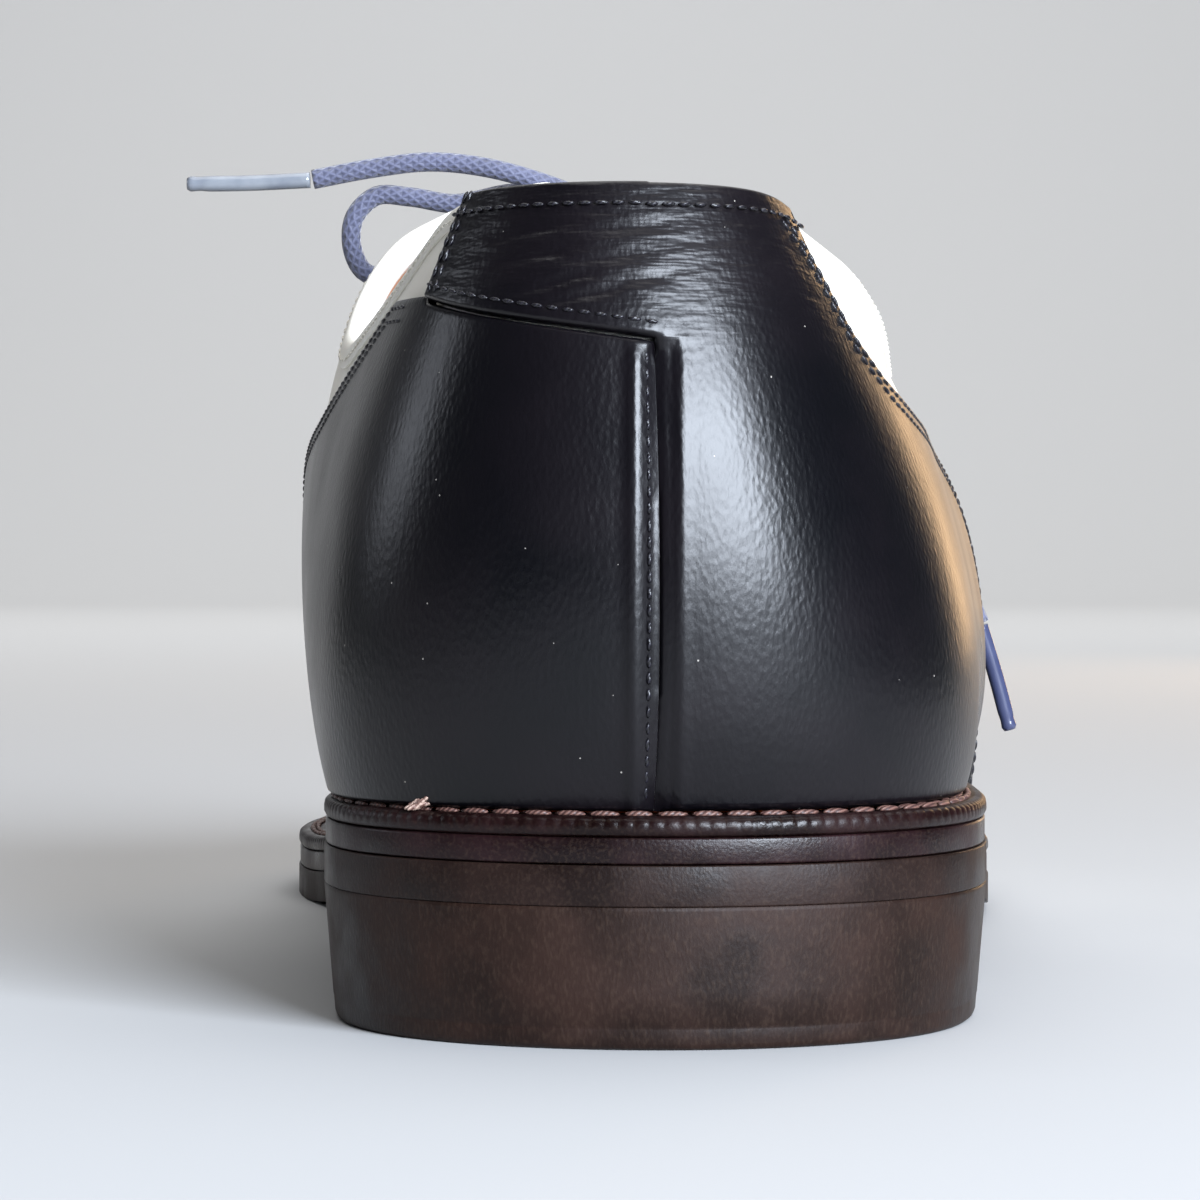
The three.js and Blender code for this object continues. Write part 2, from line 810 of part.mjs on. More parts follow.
// A layer of the sole across its whole width. outset gives how far it reaches past the feather
// line.
function layerGeometry(outset, zTop, zBottom) {
  const across = 4;
  const sheet = gridSheet(SOLE_PLACES.length - 1, across, (i, j) => {
    const place = SOLE_PLACES[i];
    const inner = outlinePoint(place, outset(place));
    const outer = outlinePoint(LOOP - place, outset(LOOP - place));
    return pairAt(inner.lerp(outer, j / across), zTop, zBottom);
  });
  return sheet.geometry();
}

// The welt: a flat strip all round, under the upper's edge and standing out past it.
function weltGeometry() {
  const places = [...SOLE_PLACES, ...SOLE_PLACES.slice(0, -1).reverse().map((p) => LOOP - p)];
  const sheet = gridSheet(places.length - 1, 1, (i, j) => {
    const place = places[i];
    const plan = outlinePoint(place, j === 0 ? ledge(place) : -UPPER_WALL);
    return pairAt(plan, seat, (at) => seat(at) - WELT_THICKNESS + CLEARANCE);
  });
  return sheet.geometry();
}

function featherSection(at, outer) {
  let low = SECTIONS / 2;
  let high = BACK;
  for (let pass = 0; pass < 20; pass += 1) {
    const middle = (low + high) / 2;
    const y = featherY(outer ? LOOP - middle : middle);
    if (atOf(y) > at) low = middle;
    else high = middle;
  }
  return (low + high) / 2;
}

// The stacked heel under the seat, its breast slightly hollow, drawn in towards the floor.
function heelGeometry() {
  const columns = 12;
  const across = 4;
  const hollow = 3;
  const starts = [featherSection(BREAST_AT, false), featherSection(BREAST_AT, true)];
  const sheet = gridSheet(columns, across, (i, j) => {
    const share = i / columns;
    const inner = mix(starts[0], BACK, share);
    const outer = mix(starts[1], BACK, share);
    const side = j / across;
    const plans = [0, HEEL_TAPER].map((inset) => {
      const from = outlinePoint(inner, ledge(inner) - inset);
      const to = outlinePoint(LOOP - outer, ledge(LOOP - outer) - inset);
      const plan = from.lerp(to, side);
      plan.y += hollow * (1 - share) ** 4 * 4 * side * (1 - side);
      return plan;
    });
    return [
      new THREE.Vector3(plans[0].x, plans[0].y, arch(atOf(plans[0].y)) - CLEARANCE),
      new THREE.Vector3(plans[1].x, plans[1].y, 0),
    ];
  });
  return sheet.geometry();
}

// Where the eyelet holes lie, top row first.
const EYELETS = Array.from({ length: EYELET_ROWS }, (unused, row) => {
  const at = TOP_EYELET_AT + (row * EYELET_PITCH) / LENGTH;
  const distance = throatHalf(at) + EYELET_INSET;
  return [false, true].map((outer) => besideCrest(at, outer, distance));
});

function drill({ place, height }) {
  const reach = UPPER_WALL + OVERLAY_WALL + 4;
  const tool = new THREE.CylinderGeometry(EYELET_HOLE / 2, EYELET_HOLE / 2, 2 * reach, 12);
  const normal = lastNormal(place, height);
  tool.applyQuaternion(
    new THREE.Quaternion().setFromUnitVectors(new THREE.Vector3(0, 1, 0), normal),
  );
  const centre = lastPoint(place, height);
  tool.translate(centre.x, centre.y, centre.z);
  return toSolid(tool);
}

function withEyelets(geometry, sides) {
  let solid = toSolid(geometry);
  EYELETS.forEach((pair) => {
    sides.forEach((side) => {
      solid = solid.subtract(drill(pair[side]));
    });
  });
  return toGeometry(solid);
}

const CORD_ARC_STEPS = 4; // a round section comes out with twice as many sides

// A round cord along chosen points, x and y in plan and z up.
function cordGeometry(points, diameter, steps) {
  const path = new THREE.CatmullRomCurve3(points, false, "centripetal");
  const outline = new THREE.Shape();
  outline.absarc(0, 0, diameter / 2, 0, 2 * Math.PI, false);
  const geometry = new THREE.ExtrudeGeometry(outline, {
    steps,
    curveSegments: CORD_ARC_STEPS,
    bevelEnabled: false,
    extrudePath: path,
  });
  return geometry;
}

const LACE_RIDE = OVERLAY_LIFT + OVERLAY_WALL + CLEARANCE + LACE / 2;

// A lace's run over the facings at one row of eyelets: up out of a hole, over towards the other
// facing and, for a bar, down into its hole. A tie stops beside the knot.
function lacePoints(row, fromOuter, reach) {
  const at = TOP_EYELET_AT + (row * EYELET_PITCH) / LENGTH;
  const hole = EYELETS[row][fromOuter ? 1 : 0];
  const base = lastPoint(hole.place, hole.height);
  const normal = lastNormal(hole.place, hole.height);
  const centre = lastPoint(sectionOfCrest(at), 1);
  const inward = centre.clone().sub(base);
  inward.addScaledVector(normal, -inward.dot(normal)).normalize();
  const spot = (up, over) =>
    base.clone().addScaledVector(normal, up).addScaledVector(inward, over);
  const start = [spot(-0.6, 0), spot(LACE_RIDE - 1.9, 0), spot(LACE_RIDE - 0.3, 1)];
  const distances = [throatHalf(at) + EYELET_INSET - 3.2, throatHalf(at) + 1, reach];
  const over = distances.map((distance) => {
    const beside = besideCrest(at, fromOuter, distance);
    return offLast(beside.place, beside.height, LACE_RIDE);
  });
  return [...start, ...over];
}

function barGeometry(row) {
  const points = [...lacePoints(row, false, 3), ...lacePoints(row, true, 3).reverse()];
  return cordGeometry(points, LACE, 18);
}

// Places in these routes are x, distance from the back of the heel, and z.
function route(rows) {
  return rows.map(([x, ahead, z]) => new THREE.Vector3(x, LENGTH / 2 - ahead, z));
}

const KNOT_CENTRE = route([[6.3, 130, 101.6]])[0];
const KNOT_SIZE = new THREE.Vector3(6.2, 5.2, 3.4);

const INNER_LOOP = route([
  [13, 130, 103.4],
  [19, 129, 103.9],
  [28, 128.5, 102.4],
  [34, 128, 103.3],
  [38.6, 128, 103.4],
  [41.5, 128, 100.6],
  [42, 129, 96.5],
  [40.3, 131, 93],
  [36, 133, 92.6],
  [29, 134, 95],
  [21, 135, 97.4],
  [13.6, 134.5, 99.2],
]);
const OUTER_LOOP = route([
  [-0.6, 130.5, 103.2],
  [-8, 131.5, 101.8],
  [-16, 133, 98.2],
  [-22, 136, 93.2],
  [-23.6, 139.5, 88.8],
  [-20, 139.8, 88.6],
  [-13, 136.8, 93.4],
  [-6.5, 135.4, 96.8],
  [-1, 134.6, 99.4],
]);
const INNER_END = route([
  [11, 126.5, 103.5],
  [16, 125, 105.2],
  [23, 124, 107],
  [30.8, 124, 107.8],
  [39, 124, 106.9],
  [47, 124, 105.4],
]);
const INNER_AGLET = route([
  [47.4, 124, 105.3],
  [56, 124, 104.9],
  [64.4, 124, 104.8],
]);
const OUTER_END = route([
  [1.1, 126.7, 103.5],
  [-6, 124.8, 103.4],
  [-14, 125.5, 100.2],
  [-21, 127.5, 94.8],
  [-27, 131, 87],
  [-32.6, 135, 75.5],
  [-38, 138.5, 63],
  [-42.8, 140.5, 52],
  [-46.3, 141, 43.8],
]);
const OUTER_AGLET = route([
  [-46.4, 141, 43.4],
  [-48.6, 141.6, 36.4],
  [-50.7, 142, 28.6],
]);

function knotGeometry() {
  const ball = new THREE.SphereGeometry(1, 12, 8);
  ball.scale(KNOT_SIZE.x, KNOT_SIZE.y, KNOT_SIZE.z);
  ball.translate(KNOT_CENTRE.x, KNOT_CENTRE.y, KNOT_CENTRE.z);
  return ball;
}

const shoe = new THREE.Group();
const aboutHeelAxis = new THREE.Group();
aboutHeelAxis.position.x = -BALL_SWING;
shoe.add(aboutHeelAxis);

function addPiece(name, geometry, color, roughness) {
  const material = new THREE.MeshStandardMaterial({ color, roughness, metalness: 0 });
  const mesh = new THREE.Mesh(geometry, material);
  mesh.name = name;
  aboutHeelAxis.add(mesh);
}

const WHITE_LEATHER = 0xf2f0ea;
const BLACK_LEATHER = 0x17141a;
const TAN_LEATHER = 0xd08a4e;
const WELT_LEATHER = 0x3b1a18;
const SOLE_LEATHER = 0x42302b;
const LACE_COTTON = 0x35344f;
const AGLET_PLASTIC = 0x8d90a8;

addPiece("upper", withEyelets(upperGeometry(), [0, 1]), WHITE_LEATHER, 0.4);
addPiece("counter_inner", innerCounterGeometry(), BLACK_LEATHER, 0.3);
addPiece("counter_outer", outerCounterGeometry(), BLACK_LEATHER, 0.3);
addPiece("saddle_inner", withEyelets(saddleGeometry(false), [0]), BLACK_LEATHER, 0.3);
addPiece("saddle_outer", withEyelets(saddleGeometry(true), [1]), BLACK_LEATHER, 0.3);
addPiece("tongue", tongueGeometry(), WHITE_LEATHER, 0.5);

const insoleOutset = () => -UPPER_WALL - CLEARANCE;
const weltUnderside = (at) => seat(at) - WELT_THICKNESS;
const midsoleUnderside = (at) => weltUnderside(at) - MIDSOLE_THICKNESS;

addPiece(
  "insole",
  layerGeometry(
    insoleOutset,
    (at) => seat(at) + INSOLE_PROUD,
    (at) => weltUnderside(at) + CLEARANCE,
  ),
  TAN_LEATHER,
  0.6,
);
addPiece("welt", weltGeometry(), WELT_LEATHER, 0.35);
addPiece(
  "midsole",
  layerGeometry(
    (place) => ledge(place) - EDGE_STEP,
    weltUnderside,
    (at) => midsoleUnderside(at) + CLEARANCE,
  ),
  WELT_LEATHER,
  0.35,
);
addPiece("outsole", layerGeometry(ledge, midsoleUnderside, arch), SOLE_LEATHER, 0.5);
addPiece("heel", heelGeometry(), SOLE_LEATHER, 0.5);

for (let row = 1; row < EYELET_ROWS; row += 1) {
  addPiece("lace_bar_" + row, barGeometry(row), LACE_COTTON, 0.7);
}
const TIE_REACH = KNOT_SIZE.x + CLEARANCE;
addPiece("lace_tie_inner", cordGeometry(lacePoints(0, false, TIE_REACH), LACE, 8), LACE_COTTON, 0.7);
addPiece("lace_tie_outer", cordGeometry(lacePoints(0, true, TIE_REACH), LACE, 8), LACE_COTTON, 0.7);
addPiece("lace_knot", knotGeometry(), LACE_COTTON, 0.7);
addPiece("lace_loop_inner", cordGeometry(INNER_LOOP, LACE, 18), LACE_COTTON, 0.7);
addPiece("lace_loop_outer", cordGeometry(OUTER_LOOP, LACE, 14), LACE_COTTON, 0.7);
addPiece("lace_end_inner", cordGeometry(INNER_END, LACE, 8), LACE_COTTON, 0.7);
addPiece("lace_end_outer", cordGeometry(OUTER_END, LACE, 14), LACE_COTTON, 0.7);
addPiece("aglet_inner", cordGeometry(INNER_AGLET, AGLET, 2), AGLET_PLASTIC, 0.3);
addPiece("aglet_outer", cordGeometry(OUTER_AGLET, AGLET, 2), AGLET_PLASTIC, 0.3);

export default shoe;
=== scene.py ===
import math

import bmesh
import bpy
import numpy as np
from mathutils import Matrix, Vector
from mathutils.kdtree import KDTree


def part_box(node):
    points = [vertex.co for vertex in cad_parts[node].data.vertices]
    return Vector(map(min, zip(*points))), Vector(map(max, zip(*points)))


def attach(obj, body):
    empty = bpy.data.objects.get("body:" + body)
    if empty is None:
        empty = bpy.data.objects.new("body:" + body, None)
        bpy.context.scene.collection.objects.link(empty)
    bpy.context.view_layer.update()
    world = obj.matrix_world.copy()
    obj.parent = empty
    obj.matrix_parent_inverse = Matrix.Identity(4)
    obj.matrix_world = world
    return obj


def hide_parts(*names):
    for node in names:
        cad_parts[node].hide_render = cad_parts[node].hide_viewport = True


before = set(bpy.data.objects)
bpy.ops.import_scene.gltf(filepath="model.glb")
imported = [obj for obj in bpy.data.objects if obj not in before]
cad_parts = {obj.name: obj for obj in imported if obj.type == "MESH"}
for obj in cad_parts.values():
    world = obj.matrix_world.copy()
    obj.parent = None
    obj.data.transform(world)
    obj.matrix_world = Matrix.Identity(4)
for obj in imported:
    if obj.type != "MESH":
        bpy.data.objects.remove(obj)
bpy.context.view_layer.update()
scene = bpy.context.scene
MM = 0.001

# The camera
# It stands behind the heel at ankle height and looks along the shoe, so that the heel is near and
# the forefoot all but hidden. It aims at the middle of the shoe with its bow.
HEEL_AXIS_X = -2.6 * MM
EYE_BEHIND_HEEL = 470 * MM
EYE_HEIGHT = 58 * MM
LENS = 129
AIM = Vector((4 * MM, 91 * MM, 48.5 * MM))

camera_data = bpy.data.cameras.new("camera")
camera_data.lens = LENS
camera = bpy.data.objects.new("camera", camera_data)
camera.location = (HEEL_AXIS_X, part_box("heel")[1].y + EYE_BEHIND_HEEL, EYE_HEIGHT)
camera.rotation_euler = (AIM - camera.location).to_track_quat("-Z", "Y").to_euler()
scene.collection.objects.link(camera)
scene.camera = camera

# The bow
# One round lace of waxed braided cotton, tied in front of the ankle. Its two loops and its two
# ends stand out to either side by the stiffness of the wax, and a rolled film tip closes each end.
LACE = 2.7 * MM
AGLET = 2.2 * MM
SHOE_LENGTH = 302 * MM
COTTON_BLUE = "#3E4054"
COTTON_PALE = "#646780"
YARN = 0.55 * MM


def linear(color):
    """An sRGB hex colour as linear RGBA."""
    shares = [int(color[i : i + 2], 16) / 255 for i in (1, 3, 5)]
    return tuple(c / 12.92 if c <= 0.04045 else ((c + 0.055) / 1.055) ** 2.4 for c in shares) + (1.0,)


def add_node(tree, kind, inputs=None, **settings):
    """A node with its settings; an input is given a value, or another node's output to link."""
    node = tree.nodes.new(kind)
    for name, value in settings.items():
        setattr(node, name, value)
    for name, value in (inputs or {}).items():
        if isinstance(value, bpy.types.NodeSocket):
            tree.links.new(value, node.inputs[name])
        else:
            node.inputs[name].default_value = value
    return node


def math_node(tree, operation, *values):
    return add_node(tree, "ShaderNodeMath", dict(enumerate(values)), operation=operation)


def bump_node(tree, height, strength, distance):
    return add_node(tree, "ShaderNodeBump", {"Height": height, "Strength": strength, "Distance": distance})


def noise_node(tree, place, size, detail):
    """Noise whose largest blots are of about a given size."""
    return add_node(tree, "ShaderNodeTexNoise", {"Vector": place, "Scale": 1 / size, "Detail": detail})


def new_material(name):
    """An empty material with its output node, and the tree to fill."""
    material = bpy.data.materials.new(name)
    material.use_nodes = True
    material.node_tree.nodes.clear()
    return material, material.node_tree


def finish_material(tree, shader):
    add_node(tree, "ShaderNodeOutputMaterial", {"Surface": shader.outputs["BSDF"]})


def mixed(tree, share, first, second):
    """Two colours or values mixed by a share."""
    node = add_node(tree, "ShaderNodeMix", {0: share, 6: first, 7: second}, data_type="RGBA")
    return node.outputs[2]


def between(tree, value, low, high, from_low=0.0, from_high=1.0):
    """A value carried over to another range."""
    inputs = {"Value": value, "From Min": from_low, "From Max": from_high, "To Min": low, "To Max": high}
    return add_node(tree, "ShaderNodeMapRange", inputs).outputs["Result"]


def braided_cotton():
    """Waxed cotton braided round a core: two sets of yarns cross on the slant, with a soft shine."""
    material, tree = new_material("waxed_braided_cotton")
    uv = add_node(tree, "ShaderNodeUVMap", uv_map="length").outputs["UV"]
    split = add_node(tree, "ShaderNodeSeparateXYZ", {0: uv})
    carriers = 7
    around = math_node(tree, "MULTIPLY", split.outputs["X"], 2 * math.pi * carriers)
    along = math_node(tree, "MULTIPLY", split.outputs["Y"], 2 * math.pi / (3 * YARN))
    sines = []
    for operation in ("ADD", "SUBTRACT"):
        turned = math_node(tree, operation, around.outputs[0], along.outputs[0])
        sines.append(math_node(tree, "SINE", turned.outputs[0]).outputs[0])
    braid = math_node(tree, "MAXIMUM", sines[0], sines[1]).outputs[0]
    place = add_node(tree, "ShaderNodeTexCoord").outputs["Object"]
    fibre = noise_node(tree, place, 0.25 * MM, 3.0)
    worn = noise_node(tree, place, 6 * MM, 2.0)
    height = math_node(tree, "MULTIPLY_ADD", fibre.outputs[0], 0.5, braid)
    bump = bump_node(tree, height.outputs[0], 0.7, 0.12 * MM)
    # The tone follows the braid's height: the valleys between the yarns are bluer and darker and the crowns
    # paler, which is painted shade.
    share = between(tree, braid, 0.0, 0.55, -0.4, 1.0)
    tone = mixed(tree, share, linear(COTTON_BLUE), linear(COTTON_PALE))
    faded = mixed(tree, between(tree, worn.outputs[0], 0.0, 0.35, 0.4, 0.7), tone, linear(COTTON_PALE))
    shader = add_node(
        tree,
        "ShaderNodeBsdfPrincipled",
        {
            "Base Color": faded,
            "Roughness": 0.62,
            "Normal": bump.outputs[0],
            "Sheen Weight": 0.35,
            "Sheen Roughness": 0.5,
        },
    )
    finish_material(tree, shader)
    return material


def routed(rows):
    """Points given in millimetres across, ahead of the back of the heel, and up."""
    return np.array([[HEEL_AXIS_X + x * MM, SHOE_LENGTH / 2 - ahead * MM, z * MM] for x, ahead, z in rows])


def run_along(points):
    """The length run along a line of points up to each of them."""
    return np.concatenate([[0], np.cumsum(np.linalg.norm(np.diff(points, axis=0), axis=1))])


def smooth_path(points, spacing):
    """The curve through some points, in even steps."""
    points = np.asarray(points, float)
    before = np.vstack([2 * points[0] - points[1], points[:-1]])
    after = np.vstack([points[1:], 2 * points[-1] - points[-2]])
    ahead = np.linalg.norm(after - points, axis=1)[:, None]
    behind = np.linalg.norm(points - before, axis=1)[:, None]
    slopes = (after - points) / ahead * behind + (points - before) / behind * ahead
    slopes = slopes / (ahead + behind)
    pieces = []
    for i in range(len(points) - 1):
        gap = np.linalg.norm(points[i + 1] - points[i])
        t = np.linspace(0, 1, 40, endpoint=False)[:, None]
        rest = 1 - t
        pieces.append(
            points[i] * (1 + 2 * t) * rest**2
            + points[i + 1] * (3 - 2 * t) * t**2
            + gap * slopes[i] * t * rest**2
            - gap * slopes[i + 1] * rest * t**2
        )
    fine = np.vstack([*pieces, points[-1:]])
    run = run_along(fine)
    count = max(2, int(round(run[-1] / spacing)))
    wanted = np.linspace(0, run[-1], count + 1)
    return np.stack([np.interp(wanted, run, fine[:, axis]) for axis in range(3)], axis=1)


def make_piece(name, vertices, faces, material, sharp_angle=50):
    """A smooth-shaded mesh object from vertices and faces, doubles merged and faces turned outwards."""
    mesh = bpy.data.meshes.new(name)
    mesh.from_pydata(np.asarray(vertices, float).reshape(-1, 3).tolist(), [], faces)
    piece = bpy.data.objects.new(name, mesh)
    scene.collection.objects.link(piece)
    mesh.materials.append(material)
    tidy_mesh(mesh)
    mesh.shade_smooth()
    mesh.set_sharp_from_angle(angle=math.radians(sharp_angle))
    return piece


def tidy_mesh(mesh):
    work = bmesh.new()
    work.from_mesh(mesh)
    bmesh.ops.remove_doubles(work, verts=work.verts, dist=2e-6)
    bmesh.ops.recalc_face_normals(work, faces=work.faces)
    work.to_mesh(mesh)
    work.free()


def cord_mesh(name, path, radius, material, sides=20):
    """A closed tube along a path, with the turns round it and the length along it as its UV map."""
    path = np.asarray(path)
    count = len(path)
    radius = np.broadcast_to(np.asarray(radius, float), (count,))
    tangents = np.gradient(path, axis=0)
    tangents /= np.linalg.norm(tangents, axis=1)[:, None]
    side = np.cross(tangents[0], (0.0, 0.0, 1.0))
    if np.linalg.norm(side) < 0.1:
        side = np.cross(tangents[0], (0.0, 1.0, 0.0))
    run = run_along(path)
    rings = []
    for i in range(count):
        side = side - tangents[i] * side.dot(tangents[i])
        side /= np.linalg.norm(side)
        up = np.cross(side, tangents[i])
        angles = 2 * np.pi * np.arange(sides) / sides
        ring = np.cos(angles)[:, None] * side + np.sin(angles)[:, None] * up
        rings.append(path[i] + ring * radius[i])
    vertices = np.vstack([*rings, path[:1], path[-1:]])
    faces = []
    uvs = []
    for i in range(count - 1):
        for j in range(sides):
            k = (j + 1) % sides
            faces.append((i * sides + j, (i + 1) * sides + j, (i + 1) * sides + k, i * sides + k))
            here, there = j / sides, (j + 1) / sides
            uvs += [(here, run[i]), (here, run[i + 1]), (there, run[i + 1]), (there, run[i])]
    for j in range(sides):
        k = (j + 1) % sides
        last = (count - 1) * sides
        faces.append((j, k, count * sides))
        faces.append((last + k, last + j, count * sides + 1))
        here, there = j / sides, k / sides
        uvs += [(here, 0), (there, 0), (here, 0)]
        uvs += [(there, run[-1]), (here, run[-1]), (here, run[-1])]
    mesh = bpy.data.meshes.new(name)
    mesh.from_pydata(vertices.tolist(), [], faces)
    layer = mesh.uv_layers.new(name="length")
    layer.data.foreach_set("uv", np.array(uvs, float).ravel())
    mesh.materials.append(material)
    mesh.shade_smooth()
    piece = bpy.data.objects.new(name, mesh)
    scene.collection.objects.link(piece)
    return piece


cotton = braided_cotton()

KNOT_CENTRE = routed([(6.3, 130, 101.6)])[0]
INNER_LOOP = routed(
    [
        (13, 130, 103.4),
        (19, 129, 103.9),
        (28, 128.5, 102.4),
        (34, 128, 103.3),
        (38.6, 128, 103.4),
        (41.5, 128, 100.6),
        (42, 129, 96.5),
        (40.3, 131, 93),
        (36, 133, 92.6),
        (29, 134, 95),
        (21, 135, 97.4),
        (13.6, 134.5, 99.2),
    ]
)
OUTER_LOOP = routed(
    [
        (-0.6, 130.5, 103.2),
        (-8, 131.5, 101.8),
        (-16, 133, 98.2),
        (-22, 136, 93.2),
        (-23.6, 139.5, 88.8),
        (-20, 139.8, 88.6),
        (-13, 136.8, 93.4),
        (-6.5, 135.4, 96.8),
        (-1, 134.6, 99.4),
    ]
)
INNER_END = routed(
    [
        (11, 126.5, 103.5),
        (16, 125, 105.2),
        (23, 124, 107),
        (30.8, 124, 107.8),
        (39, 124, 106.9),
        (47, 124, 105.4),
    ]
)
INNER_AGLET = routed([(47.4, 124, 105.3), (56, 124, 104.9), (64.4, 124, 104.8)])
OUTER_END = routed(
    [
        (1.1, 126.7, 103.5),
        (-6, 124.8, 103.4),
        (-14, 125.5, 100.2),
        (-21, 127.5, 94.8),
        (-27, 131, 87),
        (-32.6, 135, 75.5),
        (-38, 138.5, 63),
        (-42.8, 140.5, 52),
        (-46.3, 141, 43.8),
    ]
)
OUTER_AGLET = routed([(-46.4, 141, 43.4), (-48.6, 141.6, 36.4), (-50.7, 142, 28.6)])
CORD_STEP = 0.7 * MM


def rolled_film(name, dark, pale):
    """A tip of clear film rolled hard over the cotton: glossy, and greyed by the lace under it."""
    material, tree = new_material(name)
    place = add_node(tree, "ShaderNodeTexCoord").outputs["Object"]
    cloud = add_node(tree, "ShaderNodeTexNoise", {"Vector": place, "Scale": 1 / (3 * MM)})
    tone = mixed(tree, cloud.outputs[0], linear(dark), linear(pale))
    bump = bump_node(tree, cloud.outputs[0], 0.3, 0.1 * MM)
    shader = add_node(
        tree,
        "ShaderNodeBsdfPrincipled",
        {"Base Color": tone, "Roughness": 0.22, "IOR": 1.49, "Coat Weight": 0.5, "Normal": bump.outputs[0]},
    )
    finish_material(tree, shader)
    return material


pale_film = rolled_film("rolled_film_rubbed_pale", "#5A606C", "#8C9094")
# The outer tip's film is a darker, bluer copy of the inner tip's film: painted shade.
painted_shade_film = rolled_film("rolled_film_painted_shade", "#2E3350", "#474C68")


def rolled_tip(name, route, film):
    """A tip: a straight roll, a little pinched near its end, where the film is cut off."""
    path = smooth_path(route, 0.5 * MM)
    share = np.linspace(0, 1, len(path))
    pinch = 1 - 0.1 * np.exp(-(((share - 0.9) / 0.05) ** 2)) - 0.25 * np.clip((share - 0.97) / 0.03, 0, 1)
    tip = cord_mesh(name, path, AGLET / 2 * pinch, film)
    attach(tip, "root")
    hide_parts(name.replace("tip", "aglet"))
    return tip


for side, end_route, tip_route, film in (
    ("inner", INNER_END, INNER_AGLET, pale_film),
    # the outer tip takes the darker copy of the film, which is painted shade
    ("outer", OUTER_END, OUTER_AGLET, painted_shade_film),
):
    tip = rolled_tip("tip_" + side, tip_route, film)
    path = smooth_path(end_route, CORD_STEP)
    end = cord_mesh("bow_end_" + side, path, LACE / 2, cotton)
    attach(end, "root")
    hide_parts("lace_end_" + side)

for side, loop_route in (("inner", INNER_LOOP), ("outer", OUTER_LOOP)):
    path = smooth_path(loop_route, CORD_STEP)
    loop = cord_mesh("bow_loop_" + side, path, LACE / 2, cotton)
    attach(loop, "root")
    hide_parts("lace_loop_" + side)

# The last
# The wooden form that the upper was pulled over. Every leather piece is cut on its surface, which
# runs round the foot in sections, each from the feather line at the sole up to the crest.
BALL_WIDTH = 108 * MM
HEEL_WIDTH = 79 * MM
INSTEP_RISE = 86 * MM
BACK_RISE = 70 * MM
HEEL_HEIGHT = 15.9 * MM
OUTSOLE = 4.4 * MM
MIDSOLE = 3 * MM
WELT = 2.5 * MM
WELT_LEDGE = 5.6 * MM
TOE_SPRING = 11 * MM
SOLE_STACK = OUTSOLE + MIDSOLE + WELT
GAP = 0.3 * MM
BALL_STARTS_AT = 0.65
BALL_ENDS_AT = 0.755
SEAT_ENDS_AT = 0.2
WAIST_STARTS_AT = 0.2
WAIST_ENDS_AT = 0.5
# Columns: share of the length from the heel, share of the width to the inner side, and share of
# the instep's rise.
CREST = np.array(
    [
        (0.927, 0.051, 0.266),
        (0.914, 0.05, 0.287),
        (0.887, 0.046, 0.324),
        (0.838, 0.042, 0.379),
        (0.772, 0.037, 0.433),
        (0.702, 0.035, 0.501),
        (0.629, 0.035, 0.599),
        (0.546, 0.039, 0.732),
        (0.464, 0.049, 0.867),
        (0.378, 0.063, 0.988),
        (0.291, 0.073, 1.067),
        (0.212, 0.071, 1.119),
        (0.152, 0.061, 1.148),
        (0.119, 0.054, 1.157),
        (0.099, 0.052, 1.159),
        (0.093, 0.051, 1.159),
    ]
)
# Columns: share of the length, share of the width, of the welt's ledge, then the pull of the
# curve outwards and upwards at the feather, and outwards and downwards at the crest.
INNER_SIDE = np.array(
    [
        (0.985, 0.056, 0.8, 0.042, 0.134, 0.083, 0),
        (0.965, 0.21, 0.86, 0.042, 0.134, 0.111, 0),
        (0.92, 0.322, 0.93, 0.042, 0.14, 0.148, 0),
        (0.853, 0.394, 0.98, 0.037, 0.14, 0.222, 0),
        (0.78, 0.449, 1, 0.032, 0.14, 0.26, 0),
        (0.705, 0.468, 1, 0.037, 0.14, 0.278, 0.006),
        (0.629, 0.443, 0.93, 0.056, 0.151, 0.287, 0.012),
        (0.546, 0.378, 0.79, 0.11, 0.163, 0.31, 0.02),
        (0.464, 0.323, 0.61, 0.15, 0.18, 0.38, 0.02),
        (0.38, 0.33, 0.46, 0.17, 0.21, 0.5, 0.025),
        (0.298, 0.388, 0.39, 0.204, 0.18, 0.508, 0.14),
        (0.209, 0.459, 0.32, 0.16, 0.22, 0.437, 0.3),
        (0.126, 0.465, 0.4, 0.085, 0.27, 0.372, 0.38),
        (0.065, 0.398, 0.5, 0.088, 0.28, 0.328, 0.35),
        (0.028, 0.228, 0.71, 0.115, 0.28, 0.315, 0.33),
        (0.016, 0, 0.86, 0.124, 0.28, 0.304, 0.32),
    ]
)
